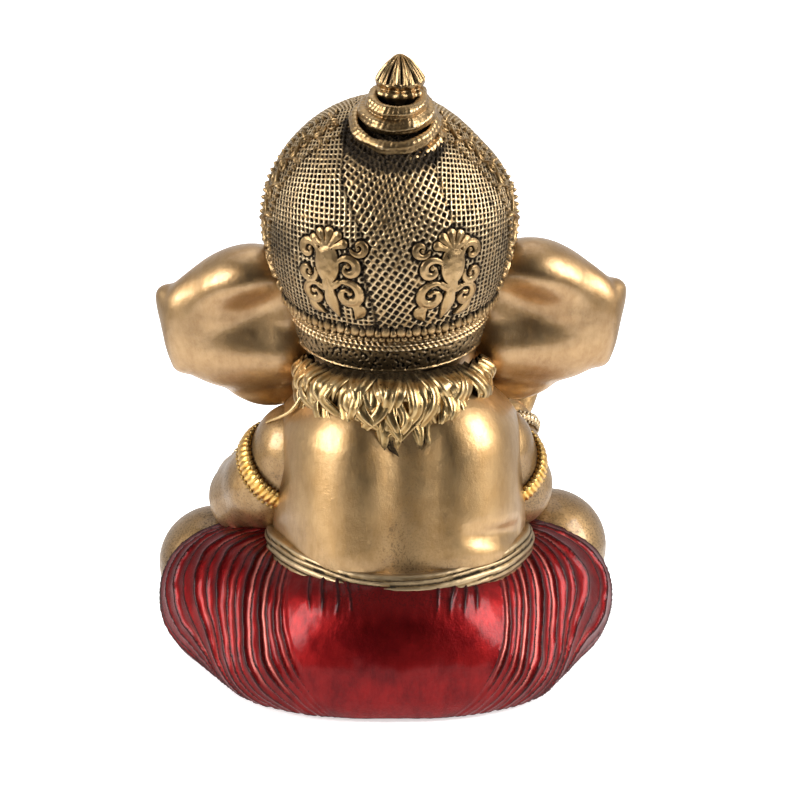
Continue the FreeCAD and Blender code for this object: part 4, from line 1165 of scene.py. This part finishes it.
def build_sash():
    """The sash's free end, hanging in folds over the front of the seat."""
    rows, columns = detail((120, 96), (50, 48))
    drop = ((33, -34.5, 4.0), (27, -36.2, 4.6), (20, -37, 5.4), (10, -39, 7.6), (1.4, -41.6, 8.8))
    stations = smooth_line(drop, rows)
    path = np.stack([0 * stations[:, 0], stations[:, 1], stations[:, 0]], 1)
    across = repeated(vec(1, 0, 0), rows)
    ahead = repeated(vec(0, -1, 0), rows)
    around = bearings(columns)
    half = stations[:, 2, None]
    fold = 0.55 * np.cos(np.cos(around)[None] * half * 1.7) * np.maximum(np.sin(around), 0)[None]
    outline = np.stack([half * np.cos(around), 2.1 * np.sin(around) + fold], -1)

    def relief(p, n):
        band = sum(np.exp(-((p[:, 2] - z) / 0.45) ** 2) for z in (3.0, 4.8))
        return 0.35 * band + 0.06 * ripple(p, 6, 95), 0 * band

    piece("front_sash", swept(path, across, ahead, outline), SASH, relief, (6, 0.10))


def ornament_ring(name, centre, normal, radius, half_wide, bead, paint, ridges):
    """A ridged band between two rows of beads."""
    count, columns = detail(220, 110), 20
    path, out, axis = ring_path(centre, normal, radius, count)
    ridged = 1 + 0.10 * np.cos(bearings(count) * ridges)
    band = circle(columns, 1.35, half_wide)[None] * ridged[:, None, None]
    shapes = [swept(path, out, axis, band, True)]
    number = int(TAU * radius / (bead * 1.95))
    for way in (1, -1):
        spots, _, along = ring_path(centre, normal, radius + 0.45, number)
        shapes.append(beads(spots + way * (half_wide + bead * 0.25) * along, bead))

    def relief(p, n):
        patina_and_shade = np.full(len(p), 0.62)
        patina_and_shade[:count * columns] = 0
        return 0 * patina_and_shade, patina_and_shade

    piece(name, joined(shapes), paint, relief, (3, 0.08))


def build_jewellery():
    """Armlets, bangles and anklets, and a string of beads with a drop."""
    for side, sign in SIDES:
        a, b, c, d, e = (np.array(s[:3], float) for s in ARMS[sign])
        widths = [s[3] for s in ARMS[sign]]
        ornament_ring(side + "_armlet", (a + b) / 2, c - a, widths[1] + 1.3, 2.4, 0.66, AMBER, 52)
        ornament_ring(side + "_bangle", 0.25 * d + 0.75 * e, e - d, widths[4] + 1.1, 1.0, 0.6, GOLD, 36)
        knee, ankle = leg_of(sign)
        ornament_ring(side + "_anklet", 0.85 * ankle + 0.15 * knee, ankle - knee, 9.1, 0.9, 0.65, GOLD, 40)
    middle, hang = vec(-1, -4.5, 69.5), turned((1, 0, 0), 14) @ vec(0, 0, 1)
    necklace, _, _ = ring_path(middle, hang, 24.3, 54)
    strand, aside, along = ring_path(middle, hang, 24.0, 200)
    for line in (necklace, strand):
        for _ in range(30):
            sunk = np.maximum(0, 0.9 - torso_field(line)) * (line[:, 1] < -10)
            line += unit(line - middle) * sunk[:, None]
    front = necklace[necklace[:, 1].argmin()]
    drop = beads(front + vec(0, -1.0, -2.6), (2.6, 1.2, 3.0), np.eye(3)[None], 20, 28, -0.3)
    cord = swept(strand, aside, along, circle(10, 0.7, 0.7), True)
    piece("necklace", joined([beads(necklace, 1.5, None, 10, 14), cord, drop]), GOLD, None, (3, 0.10))


# ------------------------------------------------------------------ hands, feet, face pieces, sweet and pad

def build_hands():
    """The left hand lies open under the sweet and the right one is raised, palm ahead."""
    aims = (
        ("left", 1, vec(-0.45, -0.88, 0.1), vec(0.88, -0.45, 0), vec(0, 0, 1)),
        ("right", -1, vec(0, -0.25, 0.97), vec(1, 0, 0), vec(0, -0.97, -0.25)),
    )
    for side, sign, ahead, across, normal in aims:
        wrist = np.array(ARMS[sign][-1][:3], float)
        turn = np.stack([across, unit(ahead), normal], 1)

        def field(p):
            q = (p - wrist) @ turn
            palm = ellipsoid(q, vec(0, 6.5, 0), (7.2, 8, 3.6))
            fingers, nails = [], []
            for i in range(4):
                aside = 3.5 * (i - 1.5)
                shorter = 0.7 * abs(i - 1.5)
                tip = vec(aside * 1.02, 18.4 - shorter, 0.5)
                fingers.append(capsule(q, vec(aside * 0.85, 8, 0), tip, 2.1, 1.75))
                nails.append(ellipsoid(q, vec(3.57 * (i - 1.5), 18.0 - shorter, -1.35), (1.1, 1.7, 0.7)))
            thumb = capsule(q, vec(-4.2, 3.0, 0.4), vec(-7.6, 9.6, 1.0), 2.5, 1.9)
            digits = blend(0.5, *fingers)
            return blend(0.4, blend(2.5, palm, digits, thumb), *nails)

        sculpted(side + "_hand", field, 0.8, SATIN, skin_relief, (4, 0.40))


def build_feet():
    """Bare feet that turn in towards each other."""
    lean = math.radians(32)
    for side, sign in SIDES:
        ahead = vec(-sign * math.sin(lean), -math.cos(lean), 0)
        across = vec(sign * math.cos(lean), -math.sin(lean), 0)
        middle = leg_of(sign)[1] * vec(1, 1, 0) + 6.6 * ahead
        turn = np.stack([across, ahead, vec(0, 0, 1)], 1)

        def field(p):
            q = (p - middle) @ turn
            sole = ellipsoid(q, vec(0, 0, 6.4), (6.6, 11.6, 5.4))
            heel = ellipsoid(q, vec(0, -6, 5.6), (5.8, 5.6, 4.8))
            toes = []
            for i in range(5):
                size = 2.3 * (1 - 0.11 * i)
                place = vec(-4.3 + 2.35 * i, 10.2 - 0.33 * i * i, 3.4 + size * 0.3)
                toes.append(ellipsoid(q, place, (size * 0.95, size * 1.5, size)))
            body = blend(3, sole, heel)
            return np.maximum(blend(0.8, body, *toes), PAD_THICK - p[:, 2])

        sculpted(side + "_foot", field, 0.8, SATIN, skin_relief, (4, 0.40))


def build_face_pieces():
    """A whole left tusk and a short right one, and the eyes."""
    tusks = (
        ("left_tusk", ((10, -29, 85, 3), (12.5, -36, 81, 2.4), (14, -42, 80.5, 0.7))),
        ("right_tusk", ((-10, -29, 85, 3), (-11.6, -33.5, 82.4, 2.6), (-12.6, -36.5, 81.3, 2.2))),
    )
    for name, stations in tusks:
        low, high = box_mm(name)

        def tusk_relief(p, n):
            return 0.10 * ripple(p * vec(1, 1.6, 1), 4, 96), 0.2 * step(ripple(p, 5, 97), 0.2, 1)

        box = low - 2, high + 2
        sculpted(name, lambda p: limb(p, stations, 2), 0.7, IVORY, tusk_relief, (4, 0.1), box)
    for side, sign in SIDES:
        centre = vec(sign * 11, -30.7, 96.5)

        def eye_relief(p, n):
            q = unit(p - centre)
            iris = np.degrees(np.arccos(np.clip(-q[:, 1], -1, 1)))
            return -0.12 * np.exp(-((iris - 36) / 5) ** 2) + 0.10 * (1 - step(iris, 12, 30)), 0 * iris

        piece(side + "_eye", beads(centre, 3.15, None, 40, 56), DARK, eye_relief)


def build_sweet():
    """A steamed sweet with pleats drawn up to a point, resting in the left palm."""
    centre = vec(28.5, -41.5, 55.5)
    profile = off_axis(((0, -5), (3.0, -4.9), (5.0, -4.2), (6.1, -2.4), (6.2, -0.8), (5.4, 1.6), (3.9, 3.4),
                        (2.0, 4.8), (0.9, 6.0), (0.5, 7.2), (0.0, 7.7)), 70)

    def relief(p, n):
        q = p - centre
        angle, reach = polar(q)
        pleat = 1 - np.abs(np.cos(angle * 6 + q[:, 2] * 0.12))
        return -0.55 * pleat**2 * step(reach, 0.4, 3) * step(q[:, 2], -4.6, -2), 0 * angle

    piece("modak_sweet", lathe(profile, 220, centre), SWEET, relief, (8, 0.2))


def build_pad():
    """The felt under the seat, with a soft edge."""
    low, high = box_mm("felt_pad")
    middle = (low + high) / 2 * vec(1, 1, 0)
    wide, deep = (high - low)[:2] / 2
    profile = smooth_line(((0, 1.0), (wide * 0.6, 1.0), (wide - 0.4, 0.98), (wide, 0.6), (wide - 0.1, 0.1),
                           (wide - 0.6, 0.0), (wide * 0.6, 0.0), (0, 0.0)), 60)
    profile = np.clip(profile, (0.01, 0), (wide, 1.0))
    piece("felt_pad", lathe(profile, 200, middle, np.eye(3), (1, deep / wide)), FELT)


# ------------------------------------------------------------------ studio

AIM_AT = (-0.00225, 0, 0.0733)
CAMERA_AWAY = 0.9
CAMERA_LIFT = 12
LENS = 162
IDOL_MIDDLE = (0, 0, 0.08)

# Each lamp box's name, place and size in metres, and power in watts.
LAMPS = (
    ("left_box", (0.90, 0.46, 0.44), (0.48, 0.65), 12.5),
    ("right_box", (-0.94, 0.34, 0.56), (0.55, 0.80), 18),
    ("top_box", (0.1, -0.25, 1.5), (1.3, 1.0), 6),
)


def build_camera(scene):
    """A long lens behind the figure and a little above it."""
    camera = bpy.data.objects.new("camera", bpy.data.cameras.new("camera"))
    scene.collection.objects.link(camera)
    scene.camera = camera
    lift = math.radians(CAMERA_LIFT)
    away = Vector((0, math.cos(lift), math.sin(lift)))
    camera.location = Vector(AIM_AT) + away * CAMERA_AWAY
    camera.rotation_euler = away.to_track_quat("Z", "Y").to_euler()
    camera.data.sensor_width = 36
    camera.data.lens = LENS
    camera.data.clip_start = 0.05


def build_floor(scene):
    """A white floor, of which only the part beside the idol shows in its gloss."""
    sides, near = 96, (0.26, 0.15)
    floors = (("floor_near", (0.0, 0.0), near, True, 0.6), ("floor_far", near, (5.0, 5.0), False, 1.0))
    for name, inner, outer, mirrored, glow in floors:
        turns = [TAU * i / sides for i in range(sides)]
        ring = [(w * math.cos(t), d * math.sin(t), 0) for w, d in (inner, outer) for t in turns]
        after = [(i + 1) % sides for i in range(sides)]
        faces = [(i, sides + i, sides + after[i], after[i]) for i in range(sides)]
        floor = bpy.data.meshes.new(name)
        floor.from_pydata(ring, [], faces)
        white = bpy.data.materials.new(name)
        white.use_nodes = True
        paper = white.node_tree.nodes["Principled BSDF"]
        paper.inputs["Base Color"].default_value = (0.9, 0.9, 0.9, 1)
        paper.inputs["Roughness"].default_value = 0.8
        paper.inputs["Specular IOR Level"].default_value = 0.1
        paper.inputs["Emission Color"].default_value = (1, 1, 1, 1)
        paper.inputs["Emission Strength"].default_value = glow
        floor.materials.append(white)
        disc = bpy.data.objects.new(name, floor)
        scene.collection.objects.link(disc)
        disc.visible_glossy = mirrored


def build_room(scene):
    """A room that is bright ahead of the figure, dim behind the lens, and white to the eye."""
    world = bpy.data.worlds.new("studio")
    scene.world = world
    world.use_nodes = True
    tree = world.node_tree
    link = tree.links.new
    way = tree.nodes.new("ShaderNodeTexCoord")
    parts = tree.nodes.new("ShaderNodeSeparateXYZ")
    link(way.outputs["Generated"], parts.inputs[0])
    fall = tree.nodes.new("ShaderNodeMapRange")
    fall.interpolation_type = "SMOOTHSTEP"
    for key, setting in zip(("From Min", "From Max", "To Min", "To Max"), (-0.9, 0.2, 0.9, 0.04)):
        fall.inputs[key].default_value = setting
    link(parts.outputs["Y"], fall.inputs["Value"])
    seen = tree.nodes.new("ShaderNodeLightPath")
    level = tree.nodes.new("ShaderNodeMix")
    link(seen.outputs["Is Camera Ray"], level.inputs[0])
    link(fall.outputs[0], level.inputs[2])
    level.inputs[3].default_value = 1.0
    back = tree.nodes["Background"]
    back.inputs["Color"].default_value = (1, 1, 1, 1)
    link(level.outputs[0], back.inputs["Strength"])


def softbox(scene, name, place, size, power):
    """A lamp box that faces the middle of the idol and doesn't show itself."""
    light = bpy.data.lights.new(name, "AREA")
    light.shape = "RECTANGLE"
    light.size, light.size_y = size
    light.energy = power
    obj = bpy.data.objects.new(name, light)
    scene.collection.objects.link(obj)
    obj.location = place
    obj.rotation_euler = (Vector(place) - Vector(IDOL_MIDDLE)).to_track_quat("Z", "Y").to_euler()
    obj.visible_camera = False


def build_studio():
    scene = bpy.context.scene
    build_camera(scene)
    build_floor(scene)
    build_room(scene)
    for lamp in LAMPS:
        softbox(scene, *lamp)
    scene.view_settings.view_transform = "Standard"


build_body()
build_head()
build_turban()
build_rim()
build_bead_row()
build_rosettes()
build_borders()
build_crest()
build_topknot()
build_hair()
build_waistband()
build_sash()
build_jewellery()
build_hands()
build_feet()
build_face_pieces()
build_sweet()
build_pad()
build_studio()
